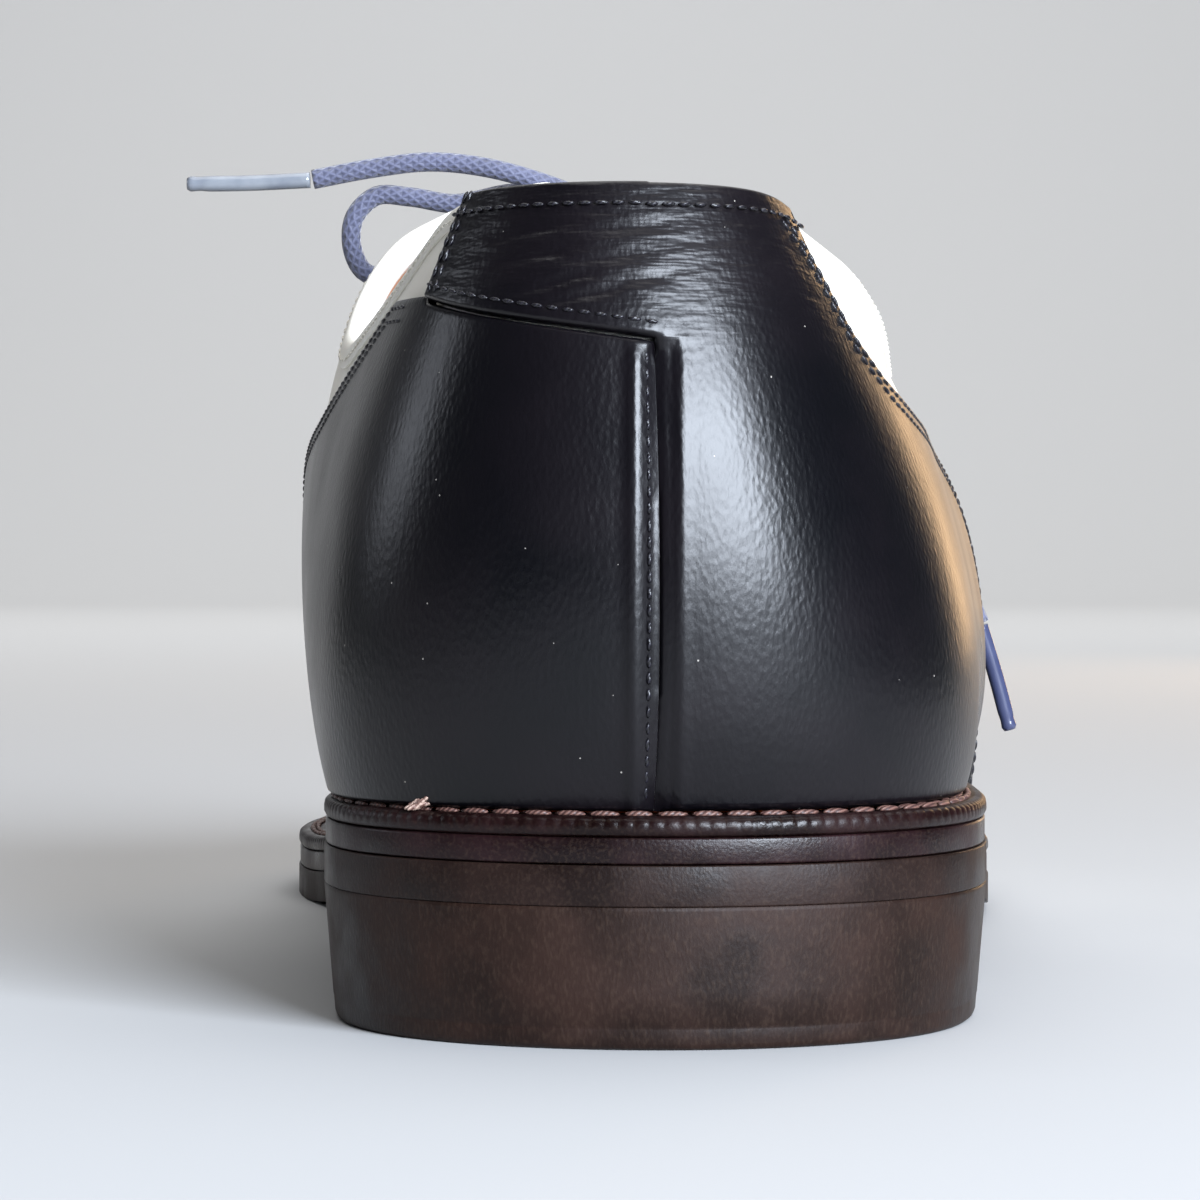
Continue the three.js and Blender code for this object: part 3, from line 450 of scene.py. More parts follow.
OUTER_SIDE = np.array(
    [
        (0.985, -0.056, 0.8, 0.042, 0.134, 0.083, 0),
        (0.965, 0.105, 0.86, 0.042, 0.134, 0.111, 0),
        (0.918, 0.245, 0.89, 0.042, 0.14, 0.148, 0),
        (0.848, 0.33, 0.89, 0.037, 0.14, 0.204, 0),
        (0.772, 0.387, 0.88, 0.032, 0.134, 0.25, 0.006),
        (0.689, 0.418, 0.87, 0.03, 0.134, 0.287, 0.02),
        (0.613, 0.424, 0.86, 0.037, 0.14, 0.302, 0.045),
        (0.536, 0.408, 0.88, 0.055, 0.15, 0.303, 0.08),
        (0.46, 0.384, 0.86, 0.1, 0.163, 0.34, 0.11),
        (0.38, 0.39, 0.82, 0.138, 0.18, 0.448, 0.11),
        (0.298, 0.42, 0.78, 0.172, 0.16, 0.458, 0.29),
        (0.209, 0.45, 0.75, 0.128, 0.2, 0.45, 0.38),
        (0.126, 0.443, 0.77, 0.092, 0.27, 0.362, 0.385),
        (0.065, 0.373, 0.79, 0.092, 0.28, 0.306, 0.355),
        (0.028, 0.215, 0.82, 0.112, 0.28, 0.305, 0.33),
        (0.016, 0, 0.86, 0.124, 0.28, 0.304, 0.32),
    ]
)
BACK = len(CREST) - 1
ROUND = 2 * BACK


def ease(share):
    x = np.clip(share, 0, 1)
    return x * x * (3 - 2 * x)


def mix(start, end, share):
    return start + (end - start) * share


def width_at(at):
    return mix(HEEL_WIDTH, BALL_WIDTH, ease((at - WAIST_STARTS_AT) / (WAIST_ENDS_AT - WAIST_STARTS_AT)))


def arch(at):
    """How high the sole's underside runs above the floor."""
    shank = (BALL_STARTS_AT - at) / (BALL_STARTS_AT - SEAT_ENDS_AT)
    spring = np.maximum(0, (at - BALL_ENDS_AT) / (1 - BALL_ENDS_AT))
    return HEEL_HEIGHT * ease(shank) + TOE_SPRING * spring**2


def seat(at):
    return arch(at) + SOLE_STACK


def at_of(y):
    return (SHOE_LENGTH / 2 - y) / SHOE_LENGTH


def closed_curve(values):
    """A smooth closed curve through values at 0, 1, 2 and so on."""
    values = np.asarray(values, float)
    count = len(values)
    system = 4 * np.eye(count) + np.roll(np.eye(count), 1, 0) + np.roll(np.eye(count), -1, 0)
    slopes = np.linalg.solve(system, 3 * (np.roll(values, -1) - np.roll(values, 1)))

    def curve(place):
        wrapped = np.mod(place, count)
        i = np.floor(wrapped).astype(int) % count
        after = (i + 1) % count
        x = wrapped - np.floor(wrapped)
        rest = (1 - x) ** 2
        ends = values[i] * (1 + 2 * x) * rest + values[after] * (3 - 2 * x) * x * x
        return ends + slopes[i] * x * rest - slopes[after] * (1 - x) * x * x

    return curve


def open_curve(places, values):
    """A curve through rows without overshoot, level beyond its ends."""
    places = np.asarray(places, float)
    values = np.asarray(values, float)
    steps = np.diff(values) / np.diff(places)
    before = np.concatenate([steps[:1], steps])
    after = np.concatenate([steps, steps[-1:]])
    together = before * after > 0
    total = np.where(together, before + after, 1)
    slopes = np.where(together, 2 * before * after / total, 0)

    def curve(place):
        place = np.clip(place, places[0], places[-1])
        i = np.clip(np.searchsorted(places, place, side="right") - 1, 0, len(places) - 2)
        width = places[i + 1] - places[i]
        x = (place - places[i]) / width
        rest = (1 - x) ** 2
        ends = values[i] * (1 + 2 * x) * rest + values[i + 1] * (3 - 2 * x) * x * x
        return ends + slopes[i] * width * x * rest - slopes[i + 1] * width * (1 - x) * x * x

    return curve


def loop_of(inner, outer):
    return closed_curve(np.concatenate([inner, outer[1:-1][::-1]]))


crest_x = CREST[:, 1] * width_at(CREST[:, 0])
crest_y = SHOE_LENGTH * (0.5 - CREST[:, 0])
crest_z = seat(CREST[:, 0]) + CREST[:, 2] * INSTEP_RISE
first = np.maximum(np.arange(BACK + 1) - 1, 0)
last = np.minimum(np.arange(BACK + 1) + 1, BACK)
crest_slope = (crest_z[last] - crest_z[first]) / (crest_y[last] - crest_y[first])
crest_loops = [loop_of(v, v) for v in (crest_x, crest_y, crest_z, crest_slope)]
inner_width, outer_width = width_at(INNER_SIDE[:, 0]), width_at(OUTER_SIDE[:, 0])
feather_x = loop_of(INNER_SIDE[:, 1] * inner_width, -OUTER_SIDE[:, 1] * outer_width)
feather_y = loop_of(SHOE_LENGTH * (0.5 - INNER_SIDE[:, 0]), SHOE_LENGTH * (0.5 - OUTER_SIDE[:, 0]))
ledge = loop_of(INNER_SIDE[:, 2] * WELT_LEDGE, OUTER_SIDE[:, 2] * WELT_LEDGE)
low_out = loop_of(INNER_SIDE[:, 3] * inner_width, OUTER_SIDE[:, 3] * outer_width)
low_up = loop_of(INNER_SIDE[:, 4] * INSTEP_RISE, OUTER_SIDE[:, 4] * INSTEP_RISE)
high_out = loop_of(INNER_SIDE[:, 5] * inner_width, OUTER_SIDE[:, 5] * outer_width)
high_down = loop_of(INNER_SIDE[:, 6] * INSTEP_RISE, OUTER_SIDE[:, 6] * INSTEP_RISE)


def last_point(place, height):
    """A point of the last, before it is moved from the heel's axis to the middle of the sole."""
    place, height = np.broadcast_arrays(np.asarray(place, float), np.asarray(height, float))
    cx, cy, cz, slope = (loop(place) for loop in crest_loops)
    fx, fy = feather_x(place), feather_y(place)
    fz = seat(at_of(fy)) + GAP
    span = np.hypot(fx - cx, fy - cy)
    dx, dy = (fx - cx) / span, (fy - cy) / span
    low, high = low_out(place), high_out(place)
    corners = (
        (fx, fy, fz),
        (fx + low * dx, fy + low * dy, fz + low_up(place)),
        (cx + high * dx, cy + high * dy, cz + high * dy * slope - high_down(place)),
        (cx, cy, cz),
    )
    rest = 1 - height
    weights = (rest**3, 3 * rest**2 * height, 3 * rest * height**2, height**3)
    sums = [sum(w * corner[axis] for w, corner in zip(weights, corners)) for axis in range(3)]
    return np.stack(sums, axis=-1)


def face_normal(place, height):
    along = last_point(place + 0.02, height) - last_point(place - 0.02, height)
    up = last_point(place, height + 0.01) - last_point(place, height - 0.01)
    normal = np.cross(along, up)
    return normal / np.linalg.norm(normal, axis=-1)[..., None]


def last_normal(place, height):
    """The outward normal of the last, levelled near the feather so that walls stand on the welt,
    and shared by both sides at the crest."""
    place, height = np.broadcast_arrays(np.asarray(place, float), np.asarray(height, float))
    normal = face_normal(place, np.clip(height, 0.015, 0.985))
    high = np.full(place.shape, 0.985)
    shared = face_normal(place, high) + face_normal(ROUND - place, high)
    normal = mix(normal, shared / 2, ease((height - 0.9) / 0.1)[..., None])
    normal[..., 2] *= ease(height / 0.16)
    return normal / np.linalg.norm(normal, axis=-1)[..., None]


def quarter_fullness(points):
    """The outer quarter stands fuller than the last where it is free of the counter."""
    at = at_of(points[..., 1])
    rise = (points[..., 2] - seat(0)) / BACK_RISE
    low = ease((rise - 0.69) / 0.12) * (1 - 0.5 * ease((rise - 0.84) / 0.1))
    along = ease((at - 0.075) / 0.06) * (1 - ease((at - 0.28) / 0.09))
    return 2.1 * MM * low * along * (points[..., 0] < 0)


MOVE = np.array([HEEL_AXIS_X, 0.0, 0.0])


def off_last(place, height, distance):
    """Points a given distance off the last, in the shoe's own frame."""
    place, height = np.broadcast_arrays(np.asarray(place, float), np.asarray(height, float))
    base = last_point(place, height)
    distance = np.broadcast_to(distance, place.shape) + quarter_fullness(base)
    return base + last_normal(place, height) * distance[..., None] + MOVE


def height_where(place, test):
    """The lowest height on each section at which a test holds, or 1."""
    place = np.asarray(place, float)
    steps = np.linspace(0, 1, 61)[1:]
    points = last_point(place[..., None], steps)
    holds = test(points, place[..., None])
    found = holds.any(axis=-1)
    high = np.where(found, steps[np.argmax(holds, axis=-1)], 1.0)
    low = high - steps[0]
    for _ in range(18):
        middle = (low + high) / 2
        passed = test(last_point(place, middle), place)
        high = np.where(passed, middle, high)
        low = np.where(passed, low, middle)
    return np.where(found, high, 1.0)


# Where the upper ends
# The topline and the throat, cut by the pattern: the topline dips under the ankle bones and
# climbs to the top of the facings, which leave a throat between them down to the vamp.
COLLAR_ENDS_AT = 0.39
COLLAR_LOWEST_AT = 0.25
THROAT_TOP_AT = 0.378
THROAT_FRONT_AT = 0.6
THROAT_GAP = 15 * MM
INNER_TOPLINE = (
    (0.02, 1),
    (0.066, 0.992),
    (0.1, 0.98),
    (0.149, 0.895),
    (0.205, 0.817),
    (0.248, 0.785),
    (0.285, 0.8),
    (0.321, 0.9),
    (0.35, 1.005),
    (0.368, 1.05),
    (0.378, 1.105),
    (0.39, 1.25),
)
OUTER_TOPLINE = (
    (0.02, 1),
    (0.066, 0.985),
    (0.1, 0.942),
    (0.149, 0.862),
    (0.205, 0.785),
    (0.248, 0.75),
    (0.285, 0.77),
    (0.321, 0.855),
    (0.35, 0.965),
    (0.368, 1.04),
    (0.378, 1.13),
    (0.39, 1.3),
)
inner_topline, outer_topline = (open_curve(*zip(*rows)) for rows in (INNER_TOPLINE, OUTER_TOPLINE))
crest_line_x = open_curve(CREST[::-1, 0], crest_x[::-1])


def rise_to_z(rise):
    return seat(0) + rise * BACK_RISE


def throat_half(at):
    """Half the gap between the facings, round at its front end."""
    narrowest = 0.35
    round_end = 1 / 9
    share = np.clip((THROAT_FRONT_AT - at) / (THROAT_FRONT_AT - THROAT_TOP_AT), 0, 1)
    return THROAT_GAP / 2 * mix(narrowest, 1, share) * np.sqrt(np.minimum(1, share / round_end))


def crest_offset(points):
    return np.abs(points[..., 0] - crest_line_x(at_of(points[..., 1])))


def past_edge(points, place):
    at = at_of(points[..., 1])
    line = np.where(place <= BACK, inner_topline(at), outer_topline(at))
    over_topline = (at < COLLAR_ENDS_AT) & (points[..., 2] > rise_to_z(line))
    in_throat = (at > COLLAR_LOWEST_AT) & (crest_offset(points) < throat_half(at))
    return over_topline | in_throat


def top_of(place):
    return height_where(place, past_edge)


def height_below(place, top, distance):
    """The height on a section that lies a given distance below another."""
    end = last_point(place, top)
    low = np.zeros_like(top)
    high = np.array(top)
    for _ in range(18):
        middle = (low + high) / 2
        far = np.linalg.norm(last_point(place, middle) - end, axis=-1) > distance
        low = np.where(far, middle, low)
        high = np.where(far, high, middle)
    return (low + high) / 2


# Walking creases
# Leather creases where the foot bends: soft troughs across the vamp behind the toe, each with a
# ridge beside it. Columns: where it crosses the crest, how far it sweeps back at the sides, depth
# in millimetres, half width as a share of the length.
CREASES = (
    (0.735, 0.06, 0.5, 0.0075),
    (0.7, 0.075, 0.75, 0.008),
    (0.668, 0.085, 0.6, 0.007),
    (0.64, 0.1, 0.35, 0.006),
)


def crease_depth(points):
    """How far the walked-in leather lies off the last, in metres."""
    at = at_of(points[..., 1])
    side = (points[..., 0] - crest_line_x(at)) / (BALL_WIDTH / 2)
    total = np.zeros(at.shape)
    for crossing, sweep, depth, half in CREASES:
        wave = 0.006 * np.sin(7 * side + 40 * crossing)
        off = (at - crossing + sweep * side**2 + wave) / half
        fade = 1 - ease((np.abs(side) - 0.55) / 0.4)
        trough = -np.exp(-(off**2)) + 0.55 * np.exp(-((off - 1.9) ** 2)) + 0.45 * np.exp(-((off + 1.9) ** 2))
        total += depth * MM * trough * fade
    return total


def on_upper(place, height, distance):
    """Points off the last with its creases."""
    place, height = np.broadcast_arrays(np.asarray(place, float), np.asarray(height, float))
    return off_last(place, height, distance + crease_depth(last_point(place, height)))


def sheet_faces(columns, rows, wanted):
    """The wanted cells of a grid as corner numbers."""
    index = np.arange((columns + 1) * (rows + 1)).reshape(columns + 1, rows + 1)
    cells = np.stack([index[:-1, :-1], index[1:, :-1], index[1:, 1:], index[:-1, 1:]], axis=-1)
    return cells[wanted]


def leather_piece(name, place, height, lift, wall, material, rounding=0.6 * MM, wanted=None, dent=None):
    """A closed piece of leather on the last, over a grid of places and heights. Its outer face
    rounds off at its edges, and dent moves that face in or out."""
    columns, rows = place.shape[0] - 1, place.shape[1] - 1
    wanted = np.ones((columns, rows), bool) if wanted is None else wanted
    cells = sheet_faces(columns, rows, wanted)
    base = on_upper(place, height, lift).reshape(-1, 3)
    merged = merge_points(base)
    cells = merged[cells]
    edges = {}
    for cell in cells.tolist():
        for a, b in zip(cell, cell[1:] + cell[:1]):
            if a != b:
                key = (min(a, b), max(a, b))
                edges[key] = edges.get(key, 0) + 1
    border = [edge for edge, count in edges.items() if count == 1]
    tree = KDTree(len(border) * 4)
    for n, (a, b) in enumerate(border):
        for k in range(4):
            tree.insert(base[a] + (base[b] - base[a]) * k / 4, 4 * n + k)
    tree.balance()
    used = np.unique(cells)
    distance = np.full(len(base), 1.0)
    for i in used:
        distance[i] = tree.find(base[i])[2] if border else 1.0
    shape = np.sqrt(1 - (1 - np.clip(distance / rounding, 0, 1)) ** 2)
    thickness = wall * (0.35 + 0.65 * shape).reshape(place.shape)
    if dent is not None:
        thickness = thickness + dent(base.reshape(*place.shape, 3), distance.reshape(place.shape))
    outer = on_upper(place, height, lift + np.maximum(thickness, 0.25 * wall)).reshape(-1, 3)
    renumber = np.full(len(base), -1)
    renumber[used] = np.arange(len(used))
    count = len(used)
    faces = []
    for cell in renumber[cells].tolist():
        ring = [v for v, before in zip(cell, cell[-1:] + cell[:-1]) if v != before]
        if len(ring) < 3:
            continue
        faces.append(tuple(ring))
        faces.append(tuple(v + count for v in reversed(ring)))
    for a, b in border:
        i, j = int(renumber[a]), int(renumber[b])
        faces.append((i, j, j + count, i + count))
    return make_piece(name, np.vstack([outer[used], base[used]]), faces, material)


def merge_points(points):
    """For each point the number of the first point at the same spot."""
    keys = np.round(points / (2 * MM / 1000)).astype(np.int64)
    seen = {}
    return np.array([seen.setdefault(key, i) for i, key in enumerate(map(tuple, keys.tolist()))])


def spread(count, bunch=0.6):
    """Shares from 0 to 1, closer together at both ends."""
    even = np.linspace(0, 1, count + 1)
    return mix(even, (1 - np.cos(np.pi * even)) / 2, bunch)


def even_places(start, end, count, height=0.4):
    """Places between two sections whose points lie evenly apart at some height."""
    fine = np.linspace(start, end, 1200)
    points = last_point(fine, height)
    run = run_along(points)
    return np.interp(np.linspace(0, run[-1], count + 1), run, fine)


# The lining
# Tan calf, one piece inside the quarters and on down the vamp, cemented to the upper and turned
# in under the white binding at the collar. The sweat of the foot has darkened it in places.
UPPER_WALL = 2.3 * MM
LINING_WALL = 0.9 * MM
BINDING_INSIDE = 4.6 * MM
TAN = "#D9883F"
TAN_DARK = "#A85E26"


def smooth_leather(name, color, shade, pore, roughness, pore_depth, gloss=0.0, sheen=0.0):
    """Finished leather: fine pores, a broad change of tone, and a roughness that follows both."""
    material, tree = new_material(name)
    place = add_node(tree, "ShaderNodeTexCoord").outputs["Object"]
    cloud = noise_node(tree, place, 28 * MM, 4.0)
    cells = add_node(tree, "ShaderNodeTexVoronoi", {"Vector": place, "Scale": 1 / pore})
    fine = noise_node(tree, place, pore * 0.45, 3.0)
    grain = math_node(tree, "MULTIPLY_ADD", fine.outputs[0], 0.6, cells.outputs[0])
    bump = bump_node(tree, grain.outputs[0], 0.6, pore_depth)
    tone = mixed(tree, between(tree, cloud.outputs[0], 0.0, 1.0, 0.3, 0.75), linear(color), linear(shade))
    rough = between(tree, cloud.outputs[0], roughness - 0.06, roughness + 0.08, 0.3, 0.7)
    shader = add_node(
        tree,
        "ShaderNodeBsdfPrincipled",
        {
            "Base Color": tone,
            "Roughness": rough,
            "IOR": 1.5,
            "Coat Weight": gloss,
            "Coat Roughness": 0.25,
            "Sheen Weight": sheen,
            "Normal": bump.outputs[0],
        },
    )
    finish_material(tree, shader)
    return material


tan_calf = smooth_leather("tan_lining_calf", TAN, TAN_DARK, 0.5 * MM, 0.5, 0.05 * MM, sheen=0.1)
columns = 300
places = np.linspace(0, ROUND, columns + 1)
tops = top_of(places)
on_collar = (tops < 1) & (at_of(last_point(places, tops)[:, 1]) < THROAT_TOP_AT)
under_binding = height_below(places, tops, BINDING_INSIDE * 0.8)
lining_top = np.where(on_collar, under_binding, height_below(places, tops, 0.6 * MM))
lining_top = np.where(tops < 1, lining_top, 1.0)
rows = 40
place_grid = np.repeat(places[:, None], rows + 1, 1)
height_grid = lining_top[:, None] * spread(rows, 0.3)[None, :]
lining = leather_piece("lining", place_grid, height_grid, -UPPER_WALL, LINING_WALL, tan_calf)
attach(lining, "root")
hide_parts("upper")

# The vamp and quarters
# White finished calf, lasted wet so that it is tight and smooth, with creases across the ball
# where the shoe has been walked in. Its cut edges round off thin.
WHITE = "#F4F1E8"
WHITE_SHADE = "#E6E0D2"
SKIN_WALL = 1.3 * MM
white_calf = smooth_leather(
    "white_finished_calf", WHITE, WHITE_SHADE, 0.45 * MM, 0.38, 0.035 * MM, gloss=0.12
)
skin_places = np.linspace(0, ROUND, 361)
skin_tops = top_of(skin_places)
skin_tops = np.where(skin_tops < 1, height_below(skin_places, skin_tops, 0.3 * MM), 1.0)
rows = 90
place_grid = np.repeat(skin_places[:, None], rows + 1, 1)
height_grid = skin_tops[:, None] * spread(rows, 0.3)[None, :]
skin = leather_piece("vamp_and_quarters", place_grid, height_grid, -SKIN_WALL, SKIN_WALL, white_calf)
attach(skin, "root")
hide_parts("upper")

# The topline's binding
# A strip of white calf rolled over the edge of the quarters from the tab to the facing, stitched
# down outside and left wider inside, where it meets the lining.
TAB_SPAN = 1.8
BINDING_END = 8.87
# Columns: distance below the topline, negative past it, and distance off the last, in millimetres.
BINDING_PROFILE = (
    (3.5, -0.1),
    (3.45, 0.3),
    (3.1, 0.52),
    (2.4, 0.5),
    (1.2, 0.62),
    (0.4, 0.5),
    (-0.3, 0.05),
    (-0.62, -0.7),
    (-0.62, -1.5),
    (-0.3, -2.3),
    (0.5, -2.85),
    (2.0, -2.9),
    (3.8, -2.75),
    (4.5, -2.6),
    (4.6, -2.2),
    (2.0, -1.5),
    (1.6, -0.6),
)


def swept_strip(name, places, tops, profile, material):
    """A strip whose section follows the top edge of the upper."""
    edge = last_point(places, tops)
    lower = last_point(places, height_below(places, tops, 1 * MM))
    upward = edge - lower
    upward /= np.linalg.norm(upward, axis=1)[:, None]
    rings = []
    for below, off in profile:
        if below > 0:
            heights = height_below(places, tops, below * MM)
            rings.append(off_last(places, heights, off * MM))
        else:
            rings.append(off_last(places, tops, off * MM) - upward * below * MM)
    rings = np.stack(rings, axis=1)
    count, sides = rings.shape[:2]
    faces = []
    for i in range(count - 1):
        for j in range(sides):
            k = (j + 1) % sides
            faces.append((i * sides + j, (i + 1) * sides + j, (i + 1) * sides + k, i * sides + k))
    faces.append(tuple(range(sides)))
    faces.append(tuple(range((count - 1) * sides, count * sides))[::-1])
    return make_piece(name, rings, faces, material)


for side, start, end in (
    ("inner", BINDING_END, BACK - TAB_SPAN - 0.05),
    ("outer", BACK + TAB_SPAN + 0.1, ROUND - BINDING_END),
):
    strip_places = even_places(start, end, 220, 0.6)
    strip_tops = top_of(strip_places)
    strip = swept_strip("binding_" + side, strip_places, strip_tops, BINDING_PROFILE, white_calf)
    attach(strip, "root")
    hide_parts("upper")
    smooth = strip.modifiers.new("soft", "SUBSURF")
    smooth.levels = smooth.render_levels = 1

# The counter
# Two panels of black polished calf behind the heel, closed by a seam down the back that lies in a
# valley. The outer panel runs on over the top of the back as a tab, stitched down over the inner
# panel, and years of wear have drawn fine wrinkles across it.
OVERLAY_WALL = 1.3 * MM
OVERLAY_LIFT = 0.42 * MM
TAB_EXTRA = 0.6 * MM
SEAM_GAP = 0.02 * MM
COUNTER_FRONT = 8.8
COUNTER_FOOT = 0.001
# Between these two places the outer counter's edge drops steeply, and its grid is finer.
STEEP_FROM = 16.7
STEEP_TO = 17.5
TAB_CORNER_RISE = 0.817
TAB_SEAM_RISE = 0.746
INNER_COUNTER = (
    (0.11, 0.825),
    (0.139, 0.773),
    (0.175, 0.72),
    (0.225, 0.659),
    (0.298, 0.595),
    (0.34, 0.5),
    (0.367, 0.37),
    (0.386, 0.22),
    (0.4, 0.08),
)
OUTER_COUNTER = (
    (0.07, 0.962),
    (0.0765, 0.9),
    (0.079, 0.856),
    (0.0805, 0.805),
    (0.0825, 0.767),
    (0.089, 0.732),
    (0.103, 0.688),
    (0.143, 0.646),
    (0.21, 0.625),
    (0.281, 0.6),
    (0.33, 0.53),
    (0.362, 0.39),
    (0.384, 0.23),
    (0.4, 0.08),
)
inner_counter, outer_counter = (open_curve(*zip(*rows)) for rows in (INNER_COUNTER, OUTER_COUNTER))


def polished_calf(name, wrinkled):
    """Black calf polished to a soft shine over a pebbled grain, dusty, with a bluish bloom."""
    material, tree = new_material(name)
    place = add_node(tree, "ShaderNodeTexCoord").outputs["Object"]
    long_cells = add_node(tree, "ShaderNodeMapping", {"Vector": place, "Scale": (1.0, 1.0, 0.55)}).outputs[0]
    pebble = add_node(
        tree,
        "ShaderNodeTexVoronoi",
        {"Vector": long_cells, "Scale": 1 / (0.62 * MM), "Smoothness": 0.5},
        feature="SMOOTH_F1",
    )
    fine = noise_node(tree, long_cells, 0.4 * MM, 4.0)
    cloud = noise_node(tree, place, 22 * MM, 3.0)
    grain = math_node(tree, "MULTIPLY_ADD", fine.outputs[0], 0.8, pebble.outputs[0])
    height = grain.outputs[0]
    if wrinkled:
        slanted = add_node(
            tree,
            "ShaderNodeMapping",
            {"Vector": place, "Rotation": (0.0, math.radians(-14), 0.0), "Scale": (0.16, 0.3, 1.0)},
        ).outputs[0]
        bands = noise_node(tree, slanted, 1.1 * MM, 2.0)
        height_up = add_node(tree, "ShaderNodeSeparateXYZ", {0: place})
        on_tab = between(tree, height_up.outputs["Z"], 0.0, 1.0, 76 * MM, 86 * MM)
        folds = math_node(tree, "MULTIPLY", bands.outputs[0], on_tab)
        both = math_node(tree, "MULTIPLY_ADD", folds.outputs[0], 8.0, height)
        height = both.outputs[0]
    bump = bump_node(tree, height, 0.6, 0.06 * MM)
    specks = add_node(tree, "ShaderNodeTexVoronoi", {"Vector": place, "Scale": 1 / (3.6 * MM)})
    rare = math_node(tree, "LESS_THAN", specks.outputs["Distance"], 0.03).outputs[0]
    blotch = between(tree, cloud.outputs[0], 0.0, 1.0, 0.35, 0.7)
    tone = mixed(tree, blotch, linear("#050508"), linear("#0E0A0E"))
    dusty = mixed(tree, rare, tone, linear("#8A857E"))
    rough = between(tree, cloud.outputs[0], 0.27, 0.37, 0.3, 0.7)
    shader = add_node(
        tree,
        "ShaderNodeBsdfPrincipled",
        {
            "Base Color": dusty,
            "Roughness": rough,
            "IOR": 1.5,
            "Specular IOR Level": 0.27,
            "Coat Weight": 0.12,
            "Coat Roughness": 0.22,
            "Normal": bump.outputs[0],
        },
    )
    finish_material(tree, shader)
    return material


black_calf = polished_calf("black_polished_calf", wrinkled=False)
black_tab_calf = polished_calf("black_polished_calf_wrinkled", wrinkled=True)


def edge_height(place, curve):
    """Height at which a line of rises is reached on each section, no higher than the topline."""
    found = height_where(place, lambda points, _: points[..., 2] > rise_to_z(curve(at_of(points[..., 1]))))
    return np.minimum(found, top_of(place))


def place_beside(place, step, distance):
    """A place whose section lies a given distance beside another at mid height."""
    apart = np.linalg.norm(last_point(place, 0.5) - last_point(place + step, 0.5))
    return place + step * distance / apart


def tab_line(place):
    """Height of the tab's lower edge."""
    share = np.minimum(1, np.abs(BACK - place) / TAB_SPAN)
    rise = mix(TAB_SEAM_RISE, TAB_CORNER_RISE, share)

    def above(points, _):
        extra = points.ndim - 1 - rise.ndim
        return points[..., 2] > rise_to_z(rise.reshape(rise.shape + (1,) * extra))

    return height_where(place, above)


def seam_valley(points, _):
    """The back seam: the inner panel swells to a ridge beside it, and the outer one lies flat and
    low along it before it rises to its full thickness."""
    across = points[..., 0] - HEEL_AXIS_X
    behind = points[..., 1] > SHOE_LENGTH * 0.3
    below_tab = 1 - ease((points[..., 2] - rise_to_z(TAB_SEAM_RISE - 0.04)) / (4 * MM))
    ridge = 0.42 * MM * np.exp(-(((across - 2.1 * MM) / (0.75 * MM)) ** 2))
    groove = -0.7 * MM * np.exp(-((across / (0.8 * MM)) ** 2))
    flat = -0.42 * MM * ease((across + 2.5 * MM) / (0.6 * MM)) * (across < 0)
    rim = 0.16 * MM * np.exp(-(((across + 3.1 * MM) / (0.6 * MM)) ** 2))
    return np.where(behind, (ridge + groove + flat + rim) * below_tab, 0)


# Columns: across and up of one end, across and up of the other, in millimetres.
TAB_WRINKLES = (
    (16, 86.5, 8, 88),
    (14.5, 83, 6, 85.4),
    (17, 89.3, 7.5, 91),
    (9, 86.3, 0, 87.6),
    (12, 81.6, 3, 83.6),
    (7, 90, -1, 90.6),
    (5, 84, -2, 85),
)


def tab_wrinkles(points, _):
    """Folds drawn across the tab, seen from behind."""
    total = np.zeros(points.shape[:-1])
    for x1, z1, x2, z2 in TAB_WRINKLES:
        start = np.array((x1 * MM + HEEL_AXIS_X, z1 * MM))
        run = np.array((x2 - x1, z2 - z1)) * MM
        flat = points[..., (0, 2)] - start
        share = np.clip((flat @ run) / (run @ run), 0, 1)
        off = np.linalg.norm(flat - share[..., None] * run, axis=-1)
        total -= 0.3 * MM * np.exp(-((off / (0.5 * MM)) ** 2)) * np.sin(np.pi * (0.1 + 0.8 * share))
    return np.where(points[..., 1] > SHOE_LENGTH * 0.3, total, 0)


rows = 90
seam = place_beside(BACK, -0.05, SEAM_GAP)
counter_places = even_places(COUNTER_FRONT, seam, 260)
edge = np.where(
    counter_places >= BACK - TAB_SPAN,
    tab_line(np.maximum(counter_places, BACK - TAB_SPAN)) - 0.002,
    edge_height(counter_places, inner_counter),
)
edge = np.maximum(edge, 3 * COUNTER_FOOT)
place_grid = np.repeat(counter_places[:, None], rows + 1, 1)
height_grid = mix(COUNTER_FOOT, edge[:, None], spread(rows)[None, :])
counter_in = leather_piece(
    "counter_panel_inner", place_grid, height_grid, OVERLAY_LIFT, OVERLAY_WALL, black_calf, dent=seam_valley
)
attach(counter_in, "root")
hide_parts("counter_inner")

tab_columns = 76
low_rows, tab_rows = 58, 46
tab_places = even_places(BACK - TAB_SPAN, BACK, tab_columns, 0.85)[:-1]
seam = place_beside(BACK, 0.05, SEAM_GAP)
outer_places = np.concatenate(
    [
        even_places(BACK, STEEP_FROM, 56)[:-1],
        even_places(STEEP_FROM, STEEP_TO, 84)[:-1],
        even_places(STEEP_TO, ROUND - COUNTER_FRONT, 90),
    ]
)
all_places = np.concatenate([tab_places, outer_places])
tops = top_of(all_places)
past_tab = all_places > BACK + TAB_SPAN
upper_edge = np.where(past_tab, edge_height(all_places, outer_counter), tops)
upper_edge = np.maximum(upper_edge, 3 * COUNTER_FOOT)
seam_height = height_where(np.array([BACK * 1.0]), lambda p, _: p[..., 2] > rise_to_z(TAB_SEAM_RISE))[0]
seam_share = seam_height / top_of(np.array([BACK * 1.0]))[0]
line = np.where(all_places < BACK, tab_line(np.minimum(all_places, BACK)), seam_share * upper_edge)
